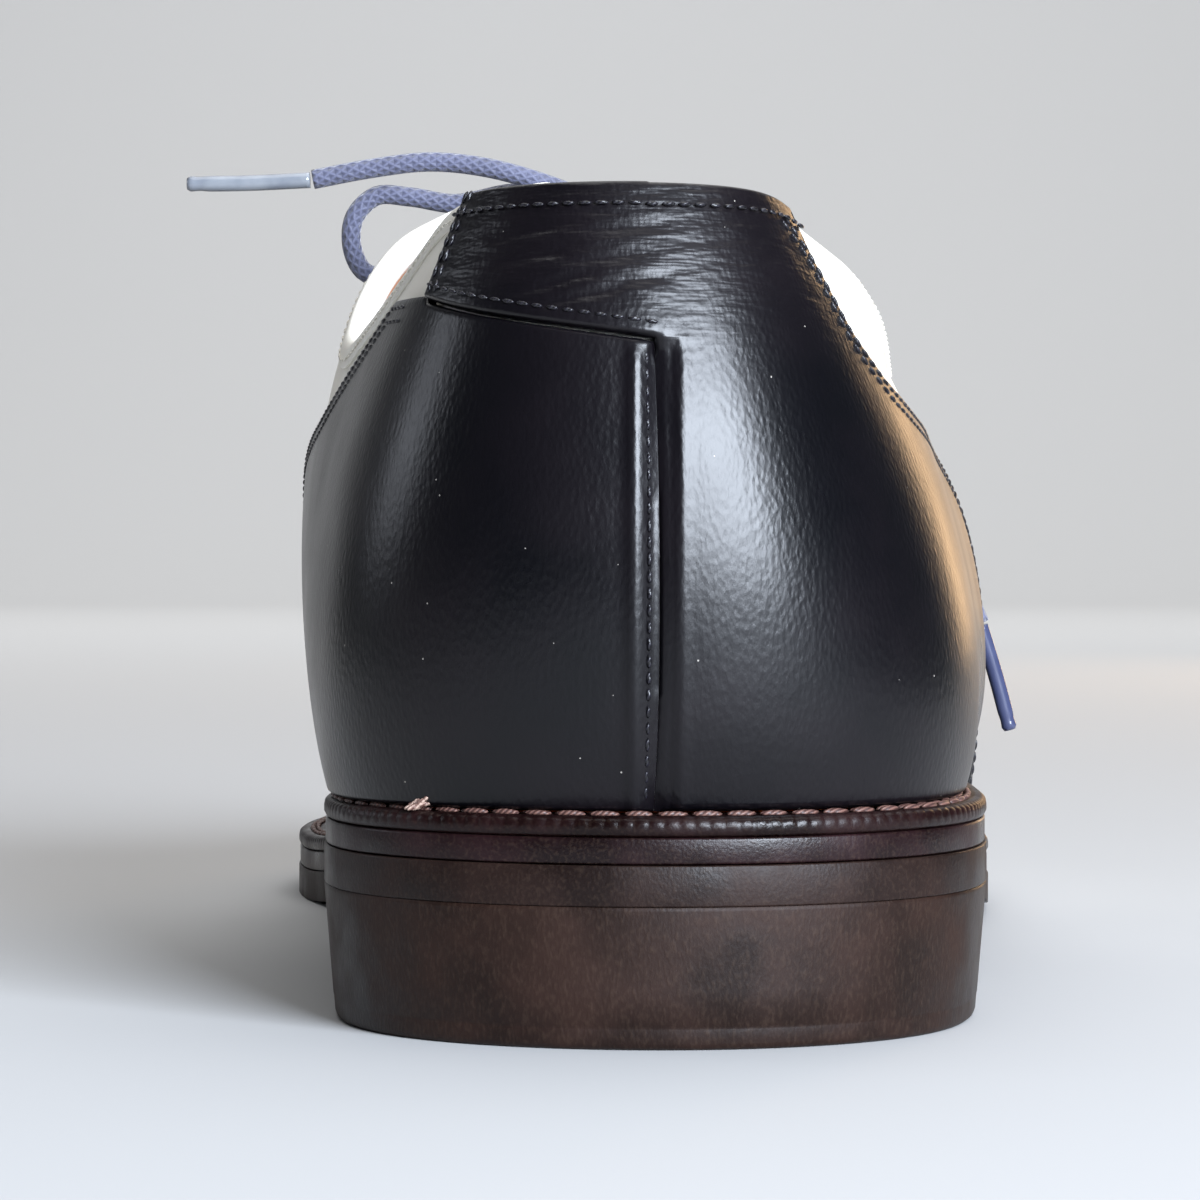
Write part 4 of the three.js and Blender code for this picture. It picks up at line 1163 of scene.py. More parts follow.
low_part = mix(COUNTER_FOOT, line[:, None], spread(low_rows, 0.3)[None, :-1])
high_part = mix(line[:, None], upper_edge[:, None], spread(tab_rows)[None, :])
height_grid = np.hstack([low_part, high_part])
place_grid = np.repeat(all_places[:, None], height_grid.shape[1], 1)
place_grid[tab_columns, :low_rows] = seam
wanted = np.ones((len(all_places) - 1, height_grid.shape[1] - 1), bool)
wanted[:tab_columns, :low_rows] = False
lap = ease((BACK + 0.3 - all_places) / 0.4)[:, None] * ((1 - spread(tab_rows)) ** 1.5)[None, :]
lap = np.hstack([np.zeros((len(all_places), low_rows)), lap])


def outer_dent(points, distance):
    return seam_valley(points, distance) + tab_wrinkles(points, distance) + TAB_EXTRA * lap


counter_out = leather_piece(
    "counter_panel_outer",
    place_grid,
    height_grid,
    OVERLAY_LIFT,
    OVERLAY_WALL,
    black_tab_calf,
    wanted=wanted,
    dent=outer_dent,
)
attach(counter_out, "root")
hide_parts("counter_outer")

# The saddle
# Black calf on both sides of the throat, stitched over the vamp and the quarters from the facings
# down to the welt, and punched for the lace.
SADDLE_BACK = (0.455, 0.415, 0.392)
SADDLE_FRONT = (0.6, 0.565, 0.612)
section_of_crest = open_curve(CREST[::-1, 0], np.arange(BACK + 1)[::-1])
saddle_back, saddle_front = (open_curve((0, 0.5, 1), row) for row in (SADDLE_BACK, SADDLE_FRONT))


def saddle_grid(outer, along, share):
    """Places and heights over one side of the saddle."""
    at = mix(saddle_front(share)[None, :], saddle_back(share)[None, :], along[:, None])
    section = section_of_crest(at)
    place = ROUND - section if outer else section
    near_crest = height_where(place, lambda points, _: crest_offset(points) < GAP)
    top = np.minimum(top_of(place), near_crest)
    edge = height_below(place, top, GAP)
    return place, mix(COUNTER_FOOT, edge, share[None, :])


saddles = []
for side, outer in (("inner", False), ("outer", True)):
    place_grid, height_grid = saddle_grid(outer, spread(110), spread(110))
    saddle = leather_piece(
        "saddle_panel_" + side, place_grid, height_grid, OVERLAY_LIFT, OVERLAY_WALL, black_calf
    )
    saddles.append(saddle)
    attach(saddle, "root")
    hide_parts("saddle_" + side)

# The tongue
# White split leather, sewn in under the front of the throat. Its top shows inside the collar,
# above the facings, and its cut edge is left plain.
TONGUE_TOP_AT = 0.37
TONGUE_FRONT_AT = 0.66
TOP_EYELET_AT = 0.42
TONGUE_WALL = 2.4 * MM
TONGUE_DROP = 0.75 * MM
tongue_half = open_curve((0.36, 0.5, 0.66), np.array((0.23, 0.205, 0.14)) * BALL_WIDTH)


def beside_crest(at, across):
    """Place and height of the points that lie across from the crest, negative on the outer side."""
    section = section_of_crest(at)
    place = np.where(across < 0, ROUND - section, section)
    reach = np.abs(across)

    def inside(points, _):
        extra = points.ndim - 1 - reach.ndim
        return crest_offset(points) < reach.reshape(reach.shape + (1,) * extra)

    return place, height_where(place, inside)


tongue_at = np.linspace(TONGUE_FRONT_AT, TONGUE_TOP_AT, 91)[:, None]
across = np.linspace(1, -1, 61)[None, :] * tongue_half(tongue_at)
tongue_at = np.broadcast_to(tongue_at, across.shape)
across = np.where(np.abs(across) < 0.05 * MM, 0.05 * MM, across)
tongue_place, tongue_height = beside_crest(tongue_at, across)
past_eyelets = ease((TOP_EYELET_AT - tongue_at) / (TOP_EYELET_AT - TONGUE_TOP_AT))
sunk = UPPER_WALL + TONGUE_DROP + TONGUE_DROP * past_eyelets
tongue_leather = smooth_leather(
    "tongue_split_leather", "#E9E2D3", "#D2C6B0", 0.6 * MM, 0.7, 0.08 * MM, sheen=0.3
)
top_points = off_last(tongue_place, tongue_height, -sunk - 0.1 * MM)
low_points = off_last(tongue_place, tongue_height, -sunk - TONGUE_WALL)


def stacked_piece(name, levels, material, sharp_angle=50):
    """A closed piece from levels of points, capped by the first and the last of them."""
    columns, rows = levels[0].shape[:2]
    index = np.arange(columns * rows).reshape(columns, rows)
    rim = np.array([*index[:, 0], *index[-1, 1:], *index[-2::-1, -1], *index[0, -2:0:-1]])
    size = columns * rows
    faces = []
    for i in range(columns - 1):
        for j in range(rows - 1):
            ring = (index[i, j], index[i + 1, j], index[i + 1, j + 1], index[i, j + 1])
            faces.append(tuple(int(v) for v in ring))
            faces.append(tuple(int(v) + size for v in reversed(ring)))
    numbers = [rim]
    offset = 2 * size
    extra = []
    for level in levels[1:-1]:
        extra.append(level.reshape(-1, 3)[rim])
        numbers.append(offset + np.arange(len(rim)))
        offset += len(rim)
    numbers.append(rim + size)
    for upper, lower in zip(numbers, numbers[1:]):
        for k in range(len(rim)):
            n = (k + 1) % len(rim)
            faces.append((int(upper[n]), int(upper[k]), int(lower[k]), int(lower[n])))
    vertices = np.vstack([levels[0].reshape(-1, 3), levels[-1].reshape(-1, 3), *extra])
    return make_piece(name, vertices, faces, material, sharp_angle)


tongue = stacked_piece("tongue_leather", [top_points, low_points], tongue_leather)
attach(tongue, "root")
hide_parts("tongue")

# The insole
# A board of vegetable-tanned leather under the foot, covered with a smooth tan sock of uneven
# tone.
INSOLE_PROUD = 2.4 * MM
sock_leather = smooth_leather("tan_sock_leather", "#C98248", "#9C5A2B", 0.6 * MM, 0.5, 0.04 * MM)


def outline(place, distance):
    """A point of the feather line moved outwards in plan."""
    step = 0.02
    along_x = feather_x(place + step) - feather_x(place - step)
    along_y = feather_y(place + step) - feather_y(place - step)
    length = np.hypot(along_x, along_y)
    x = feather_x(place) + distance * along_y / length
    y = feather_y(place) - distance * along_x / length
    return np.stack([x, y], axis=-1)


def even_outline(start, end, count):
    fine = np.linspace(start, end, 2000)
    plan = outline(fine, 0)
    run = run_along(plan)
    return np.interp(np.linspace(0, run[-1], count + 1), run, fine)


def sole_level(inner, outer, reach, inset, z_of, across=24, hollow=0.0):
    """One level of a sole layer: a grid from the inner edge to the outer edge."""
    left = outline(inner, reach(inner) - inset)
    right = outline(outer, reach(outer) - inset)
    share = np.linspace(0, 1, across + 1)
    plan = mix(left[:, None, :], right[:, None, :], share[None, :, None])
    if hollow:
        ahead = (1 - np.linspace(0, 1, len(inner))) ** 4
        plan[..., 1] += hollow * ahead[:, None] * 4 * (share * (1 - share))[None, :]
    z = z_of(at_of(plan[..., 1]))
    return np.concatenate([plan, z[..., None]], axis=-1) + MOVE


def rounded_levels(inner, outer, reach, z_top, z_bottom, radius, **shape):
    """Levels of a layer whose top and bottom edges are rounded."""
    levels = []
    for turn in (0, 30, 60, 90):
        inset = radius * (1 - math.sin(math.radians(turn)))
        drop = radius * (1 - math.cos(math.radians(turn)))
        levels.append(sole_level(inner, outer, reach, inset, lambda at: z_top(at) - drop, **shape))
    for turn in (90, 60, 30, 0):
        inset = radius * (1 - math.sin(math.radians(turn)))
        rise = radius * (1 - math.cos(math.radians(turn)))
        levels.append(sole_level(inner, outer, reach, inset, lambda at: z_bottom(at) + rise, **shape))
    return levels


half_inner = even_outline(0, BACK, 150)
half_outer = ROUND - half_inner
insole = stacked_piece(
    "sock_and_insole",
    rounded_levels(
        half_inner,
        half_outer,
        lambda place: -UPPER_WALL - GAP + 0 * place,
        lambda at: seat(at) + INSOLE_PROUD,
        lambda at: seat(at) - WELT + GAP,
        0.5 * MM,
    ),
    sock_leather,
)
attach(insole, "root")
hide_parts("insole")

# The welt
# A strip of dark leather sewn round the upper and standing out as a ledge. Its edge is wheeled,
# and the twisted thread that holds it to the sole lies in a groove on top.
def dark_leather(name, color, shade, vertical, roughness, dust):
    """Edge-dyed sole leather: fibres in layers, rubbed to a waxy shine, with dust in the pores."""
    material, tree = new_material(name)
    place = add_node(tree, "ShaderNodeTexCoord").outputs["Object"]
    stretch = {"Vector": place, "Scale": (1.0, 1.0, 1 / vertical)}
    squeezed = add_node(tree, "ShaderNodeMapping", stretch).outputs[0]
    fibre = noise_node(tree, squeezed, 0.4 * MM, 5.0)
    cloud = noise_node(tree, place, 9 * MM, 4.0)
    speck = noise_node(tree, squeezed, 0.4 * MM, 6.0)
    dusty = between(tree, speck.outputs[0], 0.0, dust, 0.48, 0.8)
    base = mixed(tree, between(tree, cloud.outputs[0], 0.0, 1.0, 0.35, 0.65), linear(color), linear(shade))
    tone = mixed(tree, dusty, base, linear("#75604F"))
    bump = bump_node(tree, fibre.outputs[0], 0.55, 0.09 * MM)
    rough = between(tree, cloud.outputs[0], roughness - 0.1, roughness + 0.1, 0.35, 0.65)
    shader = add_node(
        tree,
        "ShaderNodeBsdfPrincipled",
        {
            "Base Color": tone,
            "Roughness": rough,
            "IOR": 1.5,
            "Specular IOR Level": 0.24,
            "Normal": bump.outputs[0],
        },
    )
    finish_material(tree, shader)
    return material


welt_leather = dark_leather("oxblood_welt_leather", "#0C0303", "#1C0A0B", 1.0, 0.36, 0.06)
wheel_pitch = 1.5 * MM
around = even_outline(0, ROUND, 3200)[:-1]
plan_points = outline(around, 0)
run = run_along(plan_points)
notch = 0.14 * MM * (0.5 + 0.5 * np.cos(2 * np.pi * run / wheel_pitch)) ** 2
reach = ledge(around)
# Columns: distance in from the ledge's edge, height against the seat, and share of the wheel's
# notch, in millimetres.
WELT_PROFILE = (
    (9, 0.0, 0),
    (3.3, 0.0, 0),
    (3.05, -0.3, 0),
    (2.3, -0.3, 0),
    (2.05, 0.0, 0),
    (1.3, 0.08, 0.3),
    (0.6, -0.05, 1.0),
    (0.12, -0.4, 1.3),
    (0.0, -0.95, 1.0),
    (0.0, -1.6, 0.3),
    (0.2, -2.0, 0),
    (0.7, -2.3, 0),
    (9, -2.3, 0),
)
rings = []
for inset, rise, share in WELT_PROFILE:
    tuck = 0.02 * MM if inset == 9 else 0
    offset = np.maximum(reach - inset * MM, -UPPER_WALL - tuck) - notch * share * 0.6
    plan = outline(around, offset)
    z = seat(at_of(plan[:, 1])) + rise * MM - notch * share * 0.5
    rings.append(np.concatenate([plan, z[:, None]], axis=1) + MOVE)
rings = np.stack(rings, axis=1)
count, sides = rings.shape[:2]
faces = []
for i in range(count):
    n = (i + 1) % count
    for j in range(sides):
        k = (j + 1) % sides
        faces.append((i * sides + j, n * sides + j, n * sides + k, i * sides + k))
welt = make_piece("welt_strip", rings, faces, welt_leather, 60)
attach(welt, "root")
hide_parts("welt")

# The midsole
# A slip of leather between the welt and the outsole, edge-dyed nearly black.
slip_leather = dark_leather("black_slip_leather", "#0F0607", "#200E11", 1.0, 0.36, 0.1)
midsole = stacked_piece(
    "midsole_slip",
    rounded_levels(
        half_inner,
        half_outer,
        lambda place: ledge(place) - 0.2 * MM,
        lambda at: seat(at) - WELT + 0.2 * MM,
        lambda at: seat(at) - WELT - MIDSOLE + 0.25 * MM,
        0.3 * MM,
    ),
    slip_leather,
)
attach(midsole, "root")
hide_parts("midsole")

# The outsole
# Bend leather, sewn to the welt and carried back over the heel's seat, dyed dark brown at its
# edge. The tread is plain.
bend_leather = dark_leather("brown_bend_leather", "#120705", "#21120D", 1.3, 0.48, 0.08)
outsole = stacked_piece(
    "outsole_bend",
    rounded_levels(
        half_inner,
        half_outer,
        ledge,
        lambda at: seat(at) - WELT - MIDSOLE + 0.15 * MM,
        lambda at: arch(at) - 0.02 * MM,
        0.22 * MM,
    ),
    bend_leather,
)
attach(outsole, "root")
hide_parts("outsole")

# The heel
# Lifts of leather nailed and glued in a stack, tapering to the floor, with a hollowed breast. Its
# side is dyed and polished, and has gone dull with dust, with fine upright brush marks.
BREAST_AT = 0.245
HEEL_TAPER = 1.3 * MM
BREAST_HOLLOW = 3 * MM
heel_leather = dark_leather("stacked_heel_leather", "#150804", "#26150E", 2.2, 0.52, 0.09)
inner_breast = np.interp(-BREAST_AT, -at_of(feather_y(np.linspace(8, BACK, 400))), np.linspace(8, BACK, 400))
outer_side = ROUND - np.linspace(8, BACK, 400)
outer_breast = np.interp(-BREAST_AT, -at_of(feather_y(outer_side)), outer_side)
heel_inner = even_outline(inner_breast, BACK, 110)
heel_outer = even_outline(outer_breast, BACK, 110)
# Columns: share of the height from the floor, and how far the side draws in there, in millimetres.
HEEL_SIDE = (
    (1.0, 0.15),
    (0.99, 0.04),
    (0.97, 0.0),
    (0.7, 0.0),
    (0.42, 0.0),
    (0.17, 0.0),
    (0.16, 0.09),
    (0.145, 0.05),
    (0.05, 0.05),
    (0.02, 0.2),
    (0.0, 0.6),
)
heel_levels = [
    sole_level(
        heel_inner,
        heel_outer,
        ledge,
        HEEL_TAPER * (1 - share) + drawn * MM,
        lambda at, s=share: s * (arch(at) - 0.05 * MM),
        hollow=BREAST_HOLLOW,
    )
    for share, drawn in HEEL_SIDE
]
heel = stacked_piece("heel_stack", heel_levels, heel_leather, 40)
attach(heel, "root")
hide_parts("heel")

# The lace in the eyelets
# Five pairs of holes punched through saddle and upper. The lace crosses straight over the throat
# between each pair, and from the top pair it runs up into the knot.
EYELET_ROWS = 5
EYELET_PITCH = 11.6 * MM
EYELET_HOLE = 4.4 * MM
EYELET_INSET = 9 * MM
LACE_RIDE = 3.37 * MM


def eyelet_at(row):
    return TOP_EYELET_AT + row * EYELET_PITCH / SHOE_LENGTH


def beside_throat(row, outer, distance, offset):
    """A point beside the throat in a row of eyelets, off the last."""
    at = np.array([eyelet_at(row)])
    across = np.array([throat_half(at)[0] + distance])
    place, height = beside_crest(at, -across if outer else across)
    return off_last(place, height, offset)[0]


def from_hole(row, outer, reach):
    """Points of the lace from under an eyelet up through it and inwards over the facing."""
    inset = EYELET_INSET
    at_reach = reach - throat_half(np.array([eyelet_at(row)]))[0]
    return [
        beside_throat(row, outer, inset, -0.6 * MM),
        beside_throat(row, outer, inset, 1.47 * MM),
        beside_throat(row, outer, inset - 1 * MM, 3.07 * MM),
        beside_throat(row, outer, 5.8 * MM, LACE_RIDE),
        beside_throat(row, outer, 1 * MM, LACE_RIDE),
        beside_throat(row, outer, at_reach, LACE_RIDE),
    ]


for row in range(1, EYELET_ROWS):
    points = from_hole(row, False, 3 * MM) + from_hole(row, True, 3 * MM)[::-1]
    bar = cord_mesh("bar_%d" % row, smooth_path(points, CORD_STEP), LACE / 2, cotton)
    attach(bar, "root")
    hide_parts("lace_bar_%d" % row)
for side, outer in (("inner", False), ("outer", True)):
    points = from_hole(0, outer, 6.5 * MM)
    points.append(KNOT_CENTRE + np.array([(-3 if outer else 3) * MM, 0, -1.5 * MM]))
    tie = cord_mesh("tie_" + side, smooth_path(points, CORD_STEP), LACE / 2, cotton)
    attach(tie, "root")
    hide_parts("lace_tie_" + side)

# The knot
# The lace wrapped on itself: three turns on a slant across the middle of the bow, over the crossing
# of the ties.


def wrap(name, tilt, shift, start, turn):
    """A turn of the lace over a rounded core, on a slant."""
    angles = np.radians(np.linspace(start, start + turn, 90))
    drift = shift + 0.5 * MM * np.sin(angles)
    ring = np.stack([drift, 3.9 * MM * np.cos(angles), 2.35 * MM * np.sin(angles)], axis=1)
    turned = math.radians(tilt)
    x = ring[:, 0] * math.cos(turned) - ring[:, 1] * math.sin(turned)
    y = ring[:, 0] * math.sin(turned) + ring[:, 1] * math.cos(turned)
    path = KNOT_CENTRE + np.stack([x, y, ring[:, 2]], axis=1)
    piece = cord_mesh(name, path, LACE / 2, cotton)
    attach(piece, "root")
    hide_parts("lace_knot")


wrap("knot_turn_1", 12, -1.6 * MM, -60, 355)
wrap("knot_turn_2", -8, 1.3 * MM, -40, 355)
wrap("knot_turn_3", 55, 0.0, -100, 340)

# The eyelets
# Plain punched holes with no metal: each layer is cut by the same round punch, square to the
# leather.
punches = []
for row in range(EYELET_ROWS):
    for outer in (False, True):
        low = Vector(beside_throat(row, outer, EYELET_INSET, -7 * MM))
        high = Vector(beside_throat(row, outer, EYELET_INSET, 8 * MM))
        bpy.ops.mesh.primitive_cylinder_add(vertices=40, radius=EYELET_HOLE / 2, depth=(high - low).length)
        punch = bpy.context.object
        turn = (high - low).to_track_quat("Z", "Y").to_matrix().to_4x4()
        turn.translation = (low + high) / 2
        punch.data.transform(turn)
        punches.append(punch.data)
        bpy.data.objects.remove(punch)
joined = []
joined_faces = []
for mesh in punches:
    start = len(joined)
    joined += [tuple(v.co) for v in mesh.vertices]
    joined_faces += [tuple(start + v for v in face.vertices) for face in mesh.polygons]
punch_mesh = bpy.data.meshes.new("punches")
punch_mesh.from_pydata(joined, [], joined_faces)
punch_object = bpy.data.objects.new("punches", punch_mesh)
scene.collection.objects.link(punch_object)
for piece in (lining, skin, *saddles):
    cut = piece.modifiers.new("punched", "BOOLEAN")
    cut.object = punch_object
    cut.solver = "EXACT"
    evaluated = piece.evaluated_get(bpy.context.evaluated_depsgraph_get())
    punched = bpy.data.meshes.new_from_object(evaluated)
    piece.modifiers.clear()
    piece.data = punched
    punched.shade_smooth()
    punched.set_sharp_from_angle(angle=math.radians(50))
bpy.data.objects.remove(punch_object)

# The stitching
# Waxed linen thread in lockstitch. Black on the black panels and the tab, white on the binding,
# and the welt's thick twisted cord, pinkish brown, with one knotted bunch near the back.


def waxed_thread(name, color, shade, roughness):
    """Linen thread drawn through wax: a twist of plies with a dull shine."""
    material, tree = new_material(name)
    place = add_node(tree, "ShaderNodeTexCoord").outputs["Object"]
    slanted = add_node(tree, "ShaderNodeMapping", {"Vector": place, "Rotation": (0.6, 0.5, 0.7)}).outputs[0]
    twist = {"Vector": slanted, "Scale": 1 / (1.6 * MM), "Distortion": 1.5}
    plies = add_node(tree, "ShaderNodeTexWave", twist)
    # The grooves between the plies take the darker colour, following the same wave as the bump: painted
    # shade.
    tone = mixed(tree, plies.outputs["Fac"], linear(shade), linear(color))
    bump = bump_node(tree, plies.outputs["Fac"], 0.6, 0.1 * MM)
    shader = add_node(
        tree,
        "ShaderNodeBsdfPrincipled",
        {"Base Color": tone, "Roughness": roughness, "Normal": bump.outputs[0]},
    )
    finish_material(tree, shader)
    return material


def stitch_tree():
    """Stitches laid end to end along curves, each a drawn-out bead half sunk in the leather."""
    tree = bpy.data.node_groups.new("stitches", "GeometryNodeTree")
    face = tree.interface
    face.new_socket("Rows", in_out="INPUT", socket_type="NodeSocketGeometry")
    for name in ("Pitch", "Length", "Width", "Height"):
        face.new_socket(name, in_out="INPUT", socket_type="NodeSocketFloat")
    face.new_socket("Thread", in_out="INPUT", socket_type="NodeSocketMaterial")
    face.new_socket("Stitches", in_out="OUTPUT", socket_type="NodeSocketGeometry")
    given = add_node(tree, "NodeGroupInput").outputs
    resample = add_node(tree, "GeometryNodeResampleCurve", {"Curve": given["Rows"]})
    if hasattr(resample, "mode"):
        resample.mode = "LENGTH"
    tree.links.new(given["Pitch"], resample.inputs["Length"])
    bead = add_node(tree, "GeometryNodeMeshUVSphere", {"Segments": 8, "Rings": 6, "Radius": 0.5})
    measures = {"X": given["Length"], "Y": given["Width"], "Z": given["Height"]}
    size = add_node(tree, "ShaderNodeCombineXYZ", measures)
    drawn_out = {"Geometry": bead.outputs["Mesh"], "Scale": size.outputs[0]}
    sized = add_node(tree, "GeometryNodeTransform", drawn_out)
    tangent = add_node(tree, "GeometryNodeInputTangent")
    turned = add_node(tree, "FunctionNodeAlignRotationToVector", {"Vector": tangent.outputs[0]}, axis="X")
    jitter = add_node(tree, "FunctionNodeRandomValue", {"Seed": 7}, data_type="FLOAT_VECTOR")
    jitter.inputs[0].default_value = (0.9, 0.9, 0.9)
    jitter.inputs[1].default_value = (1.06, 1.08, 1.08)
    placed = add_node(
        tree,
        "GeometryNodeInstanceOnPoints",
        {
            "Points": resample.outputs[0],
            "Instance": sized.outputs[0],
            "Rotation": turned.outputs[0],
            "Scale": jitter.outputs[0],
        },
    )
    real = add_node(tree, "GeometryNodeRealizeInstances", {"Geometry": placed.outputs[0]})
    soft = add_node(tree, "GeometryNodeSetShadeSmooth", {"Geometry": real.outputs[0]})
    dye = {"Geometry": soft.outputs[0], "Material": given["Thread"]}
    dyed = add_node(tree, "GeometryNodeSetMaterial", dye)
    add_node(tree, "NodeGroupOutput", {"Stitches": dyed.outputs[0]})
    return tree


stitches = stitch_tree()


def sewn(name, rows_of_points, pitch, length, width, height, material):
    """Rows of stitches as one plain mesh."""
    curve = bpy.data.curves.new(name + "_rows", "CURVE")
    curve.dimensions = "3D"
    for points in rows_of_points:
        spline = curve.splines.new("POLY")
        spline.points.add(len(points) - 1)
        spline.points.foreach_set("co", np.hstack([points, np.ones((len(points), 1))]).ravel())
    rows_object = bpy.data.objects.new(name + "_rows", curve)
    scene.collection.objects.link(rows_object)
    modifier = rows_object.modifiers.new("stitches", "NODES")
    modifier.node_group = stitches
    values = {"Pitch": pitch, "Length": length, "Width": width, "Height": height, "Thread": material}
    for item in stitches.interface.items_tree:
        if item.in_out == "INPUT" and item.name in values:
            modifier[item.identifier] = values[item.name]
    bpy.context.view_layer.update()
    evaluated = rows_object.evaluated_get(bpy.context.evaluated_depsgraph_get())
    mesh = bpy.data.meshes.new_from_object(evaluated)
    mesh.name = name
    bpy.data.objects.remove(rows_object)
    if not mesh.materials:
        mesh.materials.append(material)
    piece = bpy.data.objects.new(name, mesh)
    scene.collection.objects.link(piece)
    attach(piece, "root")
    return piece


ON_PANEL = OVERLAY_LIFT + OVERLAY_WALL


def inside_outer_edge(inset):
    """The line that runs inside the outer counter's upper edge, which drops steeply from the tab."""
    at = np.linspace(0.0705, 0.372, 900)
    line = np.stack([at * SHOE_LENGTH, outer_counter(at) * BACK_RISE], axis=1)
    run = run_along(line)
    even = np.linspace(0.5 * MM, run[-1], 240)
    line = np.stack([np.interp(even, run, line[:, axis]) for axis in range(2)], axis=1)
    tangent = np.gradient(line, axis=0)
    tangent /= np.linalg.norm(tangent, axis=1)[:, None]
    line = line + inset * np.stack([tangent[:, 1] * 0.75, -tangent[:, 0]], axis=1)
    low = np.full(len(line), BACK + 0.3)
    high = np.full(len(line), ROUND - COUNTER_FRONT)
    z = seat(0) + line[:, 1]

    def height_of(place):
        def reached(points, _):
            return points[..., 2] > z.reshape(z.shape + (1,) * (points.ndim - 2))

        return height_where(place, reached)

    for _ in range(16):
        middle = (low + high) / 2
        ahead = at_of(last_point(middle, height_of(middle))[:, 1]) * SHOE_LENGTH > line[:, 0]
        high = np.where(ahead, middle, high)
        low = np.where(ahead, low, middle)
    place = (low + high) / 2
    return off_last(place, height_of(place), ON_PANEL)


black_thread = waxed_thread("black_waxed_thread", "#1C1A22", "#0A090C", 0.36)
white_thread = waxed_thread("white_waxed_thread", "#EFEBE0", "#CFC8B8", 0.5)
welt_thread = waxed_thread("brown_welt_cord", "#6F5047", "#3A2421", 0.5)
rows_of_points = []
inner_run = even_places(COUNTER_FRONT + 0.2, BACK - TAB_SPAN - 0.5, 160)
for below in (1.3 * MM, 3.0 * MM):
    edge = edge_height(inner_run, inner_counter)
    rows_of_points.append(off_last(inner_run, height_below(inner_run, edge, below), ON_PANEL))
    rows_of_points.append(inside_outer_edge(below))
    for outer in (False, True):
        share = np.linspace(0.04, 0.985, 120)
        for edge_of, toward in ((saddle_back, 1), (saddle_front, -1)):
            at = edge_of(share) + toward * below / SHOE_LENGTH
            section = section_of_crest(at)
            place = ROUND - section if outer else section
            near_crest = height_where(place, lambda points, _: crest_offset(points) < GAP)
            top = height_below(place, np.minimum(top_of(place), near_crest), GAP)
            rows_of_points.append(on_upper(place, mix(COUNTER_FOOT, top, share), ON_PANEL))
# The tab's own rows: along its top, over the seam, and down its side.
corner = BACK - TAB_SPAN
top_run = even_places(corner + 0.06, BACK + TAB_SPAN, 80, 0.85)
rows_of_points.append(off_last(top_run, height_below(top_run, top_of(top_run), 3 * MM), ON_PANEL + 0.3 * MM))
tab_run = even_places(corner + 0.08, BACK - 0.02, 60, 0.8)
tab_low = tab_line(tab_run)
tab_top = top_of(tab_run)
tab_height = np.linalg.norm(last_point(tab_run, tab_top) - last_point(tab_run, tab_low), axis=-1)
share_up = 1.6 * MM / tab_height
rows_of_points.append(off_last(tab_run, mix(tab_low, tab_top, share_up), ON_PANEL + 0.55 * MM))
share = np.linspace(0.08, 0.94, 40)
for beside in (1.4 * MM, 2.9 * MM):
    side_place = place_beside(corner, 0.05, beside)
    low, high = tab_line(np.array([corner]))[0], top_of(np.array([corner]))[0]
    lift = ON_PANEL + 0.6 * MM * (1 - share)
    rows_of_points.append(off_last(np.full(40, side_place), mix(low, high, share), lift))
# The back seam's row, just beside the seam on the inner panel's swell.
heights = np.linspace(0.03, seam_height - 0.02, 140)
seam_places = np.full(140, place_beside(BACK, -0.05, 1.0 * MM))
rows_of_points.append(off_last(seam_places, heights, ON_PANEL - 0.32 * MM))
sewn(
    "panel_stitches",
    rows_of_points,
    1.85 * MM,
    1.55 * MM,
    0.5 * MM,
    0.5 * MM,
    black_thread,
)

rows_of_points = []
for start, end in ((9.2, BACK - TAB_SPAN - 0.15), (BACK + TAB_SPAN + 0.2, ROUND - 9.2)):
    run_places = even_places(start, end, 160, 0.6)
    heights = height_below(run_places, top_of(run_places), 2.4 * MM)
    rows_of_points.append(off_last(run_places, heights, 0.55 * MM))
sewn(
    "binding_stitches",
    rows_of_points,
    1.7 * MM,
    1.35 * MM,
    0.42 * MM,
    0.4 * MM,
    white_thread,
)

# The welt's cord leans across its run, so each stitch is laid as two short plies on a slant.
CORD_PITCH = 4 * MM
around = even_outline(0, ROUND, 1600)[:-1]
offset = np.maximum(ledge(around) - 2.65 * MM, 0.5 * MM)
rows_of_points = []
for shift, lean in ((-0.28, 1), (0.28, -1)):
    turns = np.arange(len(around)) * 2 * np.pi * (SHOE_LENGTH / 1600 * 2.35) / CORD_PITCH
    wave = 0.3 * MM * np.sin(turns) * lean
    plan = outline(around, offset + shift * MM + wave)
    z = seat(at_of(plan[:, 1])) + 0.12 * MM
    ring = np.concatenate([plan, z[:, None]], axis=1) + MOVE
    rows_of_points.append(np.vstack([ring, ring[:1]]))
sewn("welt_stitches", rows_of_points, CORD_PITCH, 3.5 * MM, 0.85 * MM, 0.8 * MM, welt_thread)

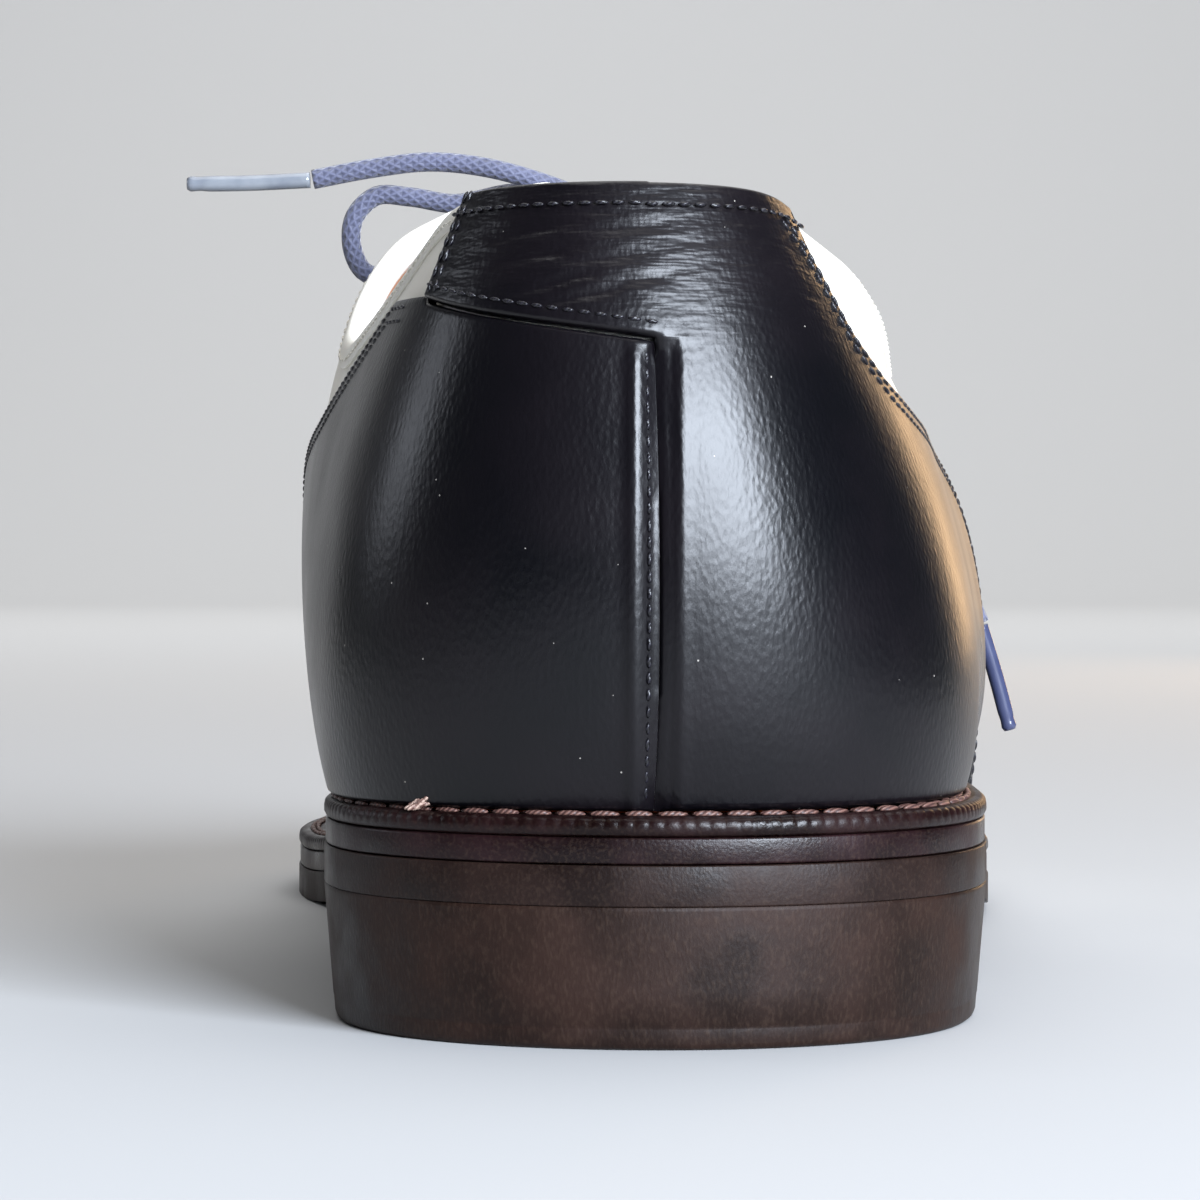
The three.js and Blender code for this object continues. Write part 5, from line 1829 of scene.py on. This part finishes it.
# The bunch at the welt
# Where the welt's seam starts and ends, on the inner side near the back, its cord is knotted and
# left standing, rubbed pale.
bunch_paths = []
bunch_seed = np.random.default_rng(5)
BUNCH_PLACE = np.array([13.62])
BUNCH_CENTRE = outline(BUNCH_PLACE, ledge(BUNCH_PLACE) - 2.3 * MM)[0]
BUNCH_HEIGHT = float(seat(0.0)) + 0.5 * MM
for _ in range(9):
    steps = np.linspace(-1, 1, 14)
    lean = bunch_seed.uniform(-0.7, 0.7)
    half = bunch_seed.uniform(1.6, 3.2)
    aside = bunch_seed.uniform(-0.8, 0.8) * MM
    x = BUNCH_CENTRE[0] + HEEL_AXIS_X + steps * half * MM + aside
    y = BUNCH_CENTRE[1] + lean * steps * 0.8 * MM + bunch_seed.uniform(-0.5, 0.5) * MM
    z = BUNCH_HEIGHT + (1 - steps**2) * bunch_seed.uniform(0.3, 1.3) * MM - steps * lean * 0.4 * MM
    bunch_paths.append(np.stack([x, y, z], axis=1))
bunch_thread = waxed_thread("pale_welt_cord", "#A58C7E", "#5E4038", 0.6)
sewn("welt_bunch", bunch_paths, 0.45 * MM, 0.8 * MM, 0.5 * MM, 0.5 * MM, bunch_thread)

# The floor and the light
# A pale paper sweep under a wide soft light, with a cool key from the right behind the camera, a
# weak warm light and a weak cool one from the sides, and two washes over the paper behind.
material, tree = new_material("pale_paper")
shader = add_node(tree, "ShaderNodeBsdfPrincipled", {"Base Color": linear("#AFAFAF"), "Roughness": 0.9})
finish_material(tree, shader)
SWEEP_FRONT = 2.2
SWEEP_BACK = -2.4
SWEEP_HALF = 3.0
SWEEP_ROUND = 1.2
profile = [(SWEEP_FRONT, 0.0), (SWEEP_BACK, 0.0)]
for step in range(1, 25):
    angle = math.radians(90 * step / 24)
    profile.append((SWEEP_BACK - SWEEP_ROUND * math.sin(angle), SWEEP_ROUND * (1 - math.cos(angle))))
profile.append((SWEEP_BACK - SWEEP_ROUND, 3.5))
vertices = [(x, y, z) for y, z in profile for x in (-SWEEP_HALF, SWEEP_HALF)]
faces = [(2 * i, 2 * i + 1, 2 * i + 3, 2 * i + 2) for i in range(len(profile) - 1)]
mesh = bpy.data.meshes.new("paper_sweep")
mesh.from_pydata(vertices, [], faces)
mesh.materials.append(material)
mesh.shade_smooth()
sweep = bpy.data.objects.new("paper_sweep", mesh)
scene.collection.objects.link(sweep)


def soft_light(name, location, target, size, power, color=(1.0, 1.0, 1.0)):
    data = bpy.data.lights.new(name, "AREA")
    data.shape = "RECTANGLE"
    data.size, data.size_y = size
    data.energy = power
    data.color = color
    light = bpy.data.objects.new(name, data)
    light.location = location
    light.rotation_euler = (Vector(target) - Vector(location)).to_track_quat("-Z", "Y").to_euler()
    scene.collection.objects.link(light)
    return light


middle = (0.0, 0.08, 0.05)
soft_light("overhead", (-0.15, 0.0, 1.3), middle, (1.2, 1.4), 12)
soft_light("window", (-0.68, 1.2, 0.5), middle, (0.75, 0.6), 62, (0.8, 0.88, 1.0))
soft_light("warm_side", (-0.55, -1.1, 0.3), middle, (0.2, 0.5), 1.7, (1.0, 0.62, 0.3))
soft_light("cool_side", (1.2, -0.3, 0.45), middle, (0.4, 0.4), 1.4, (0.85, 0.9, 1.0))
soft_light("backdrop_wash", (0.0, -1.5, 1.9), (0.0, -3.2, 0.5), (2.5, 1.0), 62)
soft_light("floor_wash", (0.0, -1.5, 1.9), (0.0, -1.5, 0.0), (2.5, 1.5), 16)
world = bpy.data.worlds.new("tent")
world.use_nodes = True
world.node_tree.nodes["Background"].inputs["Color"].default_value = linear("#D8DCE4")
world.node_tree.nodes["Background"].inputs["Strength"].default_value = 0.07
scene.world = world
scene.view_settings.view_transform = "Standard"
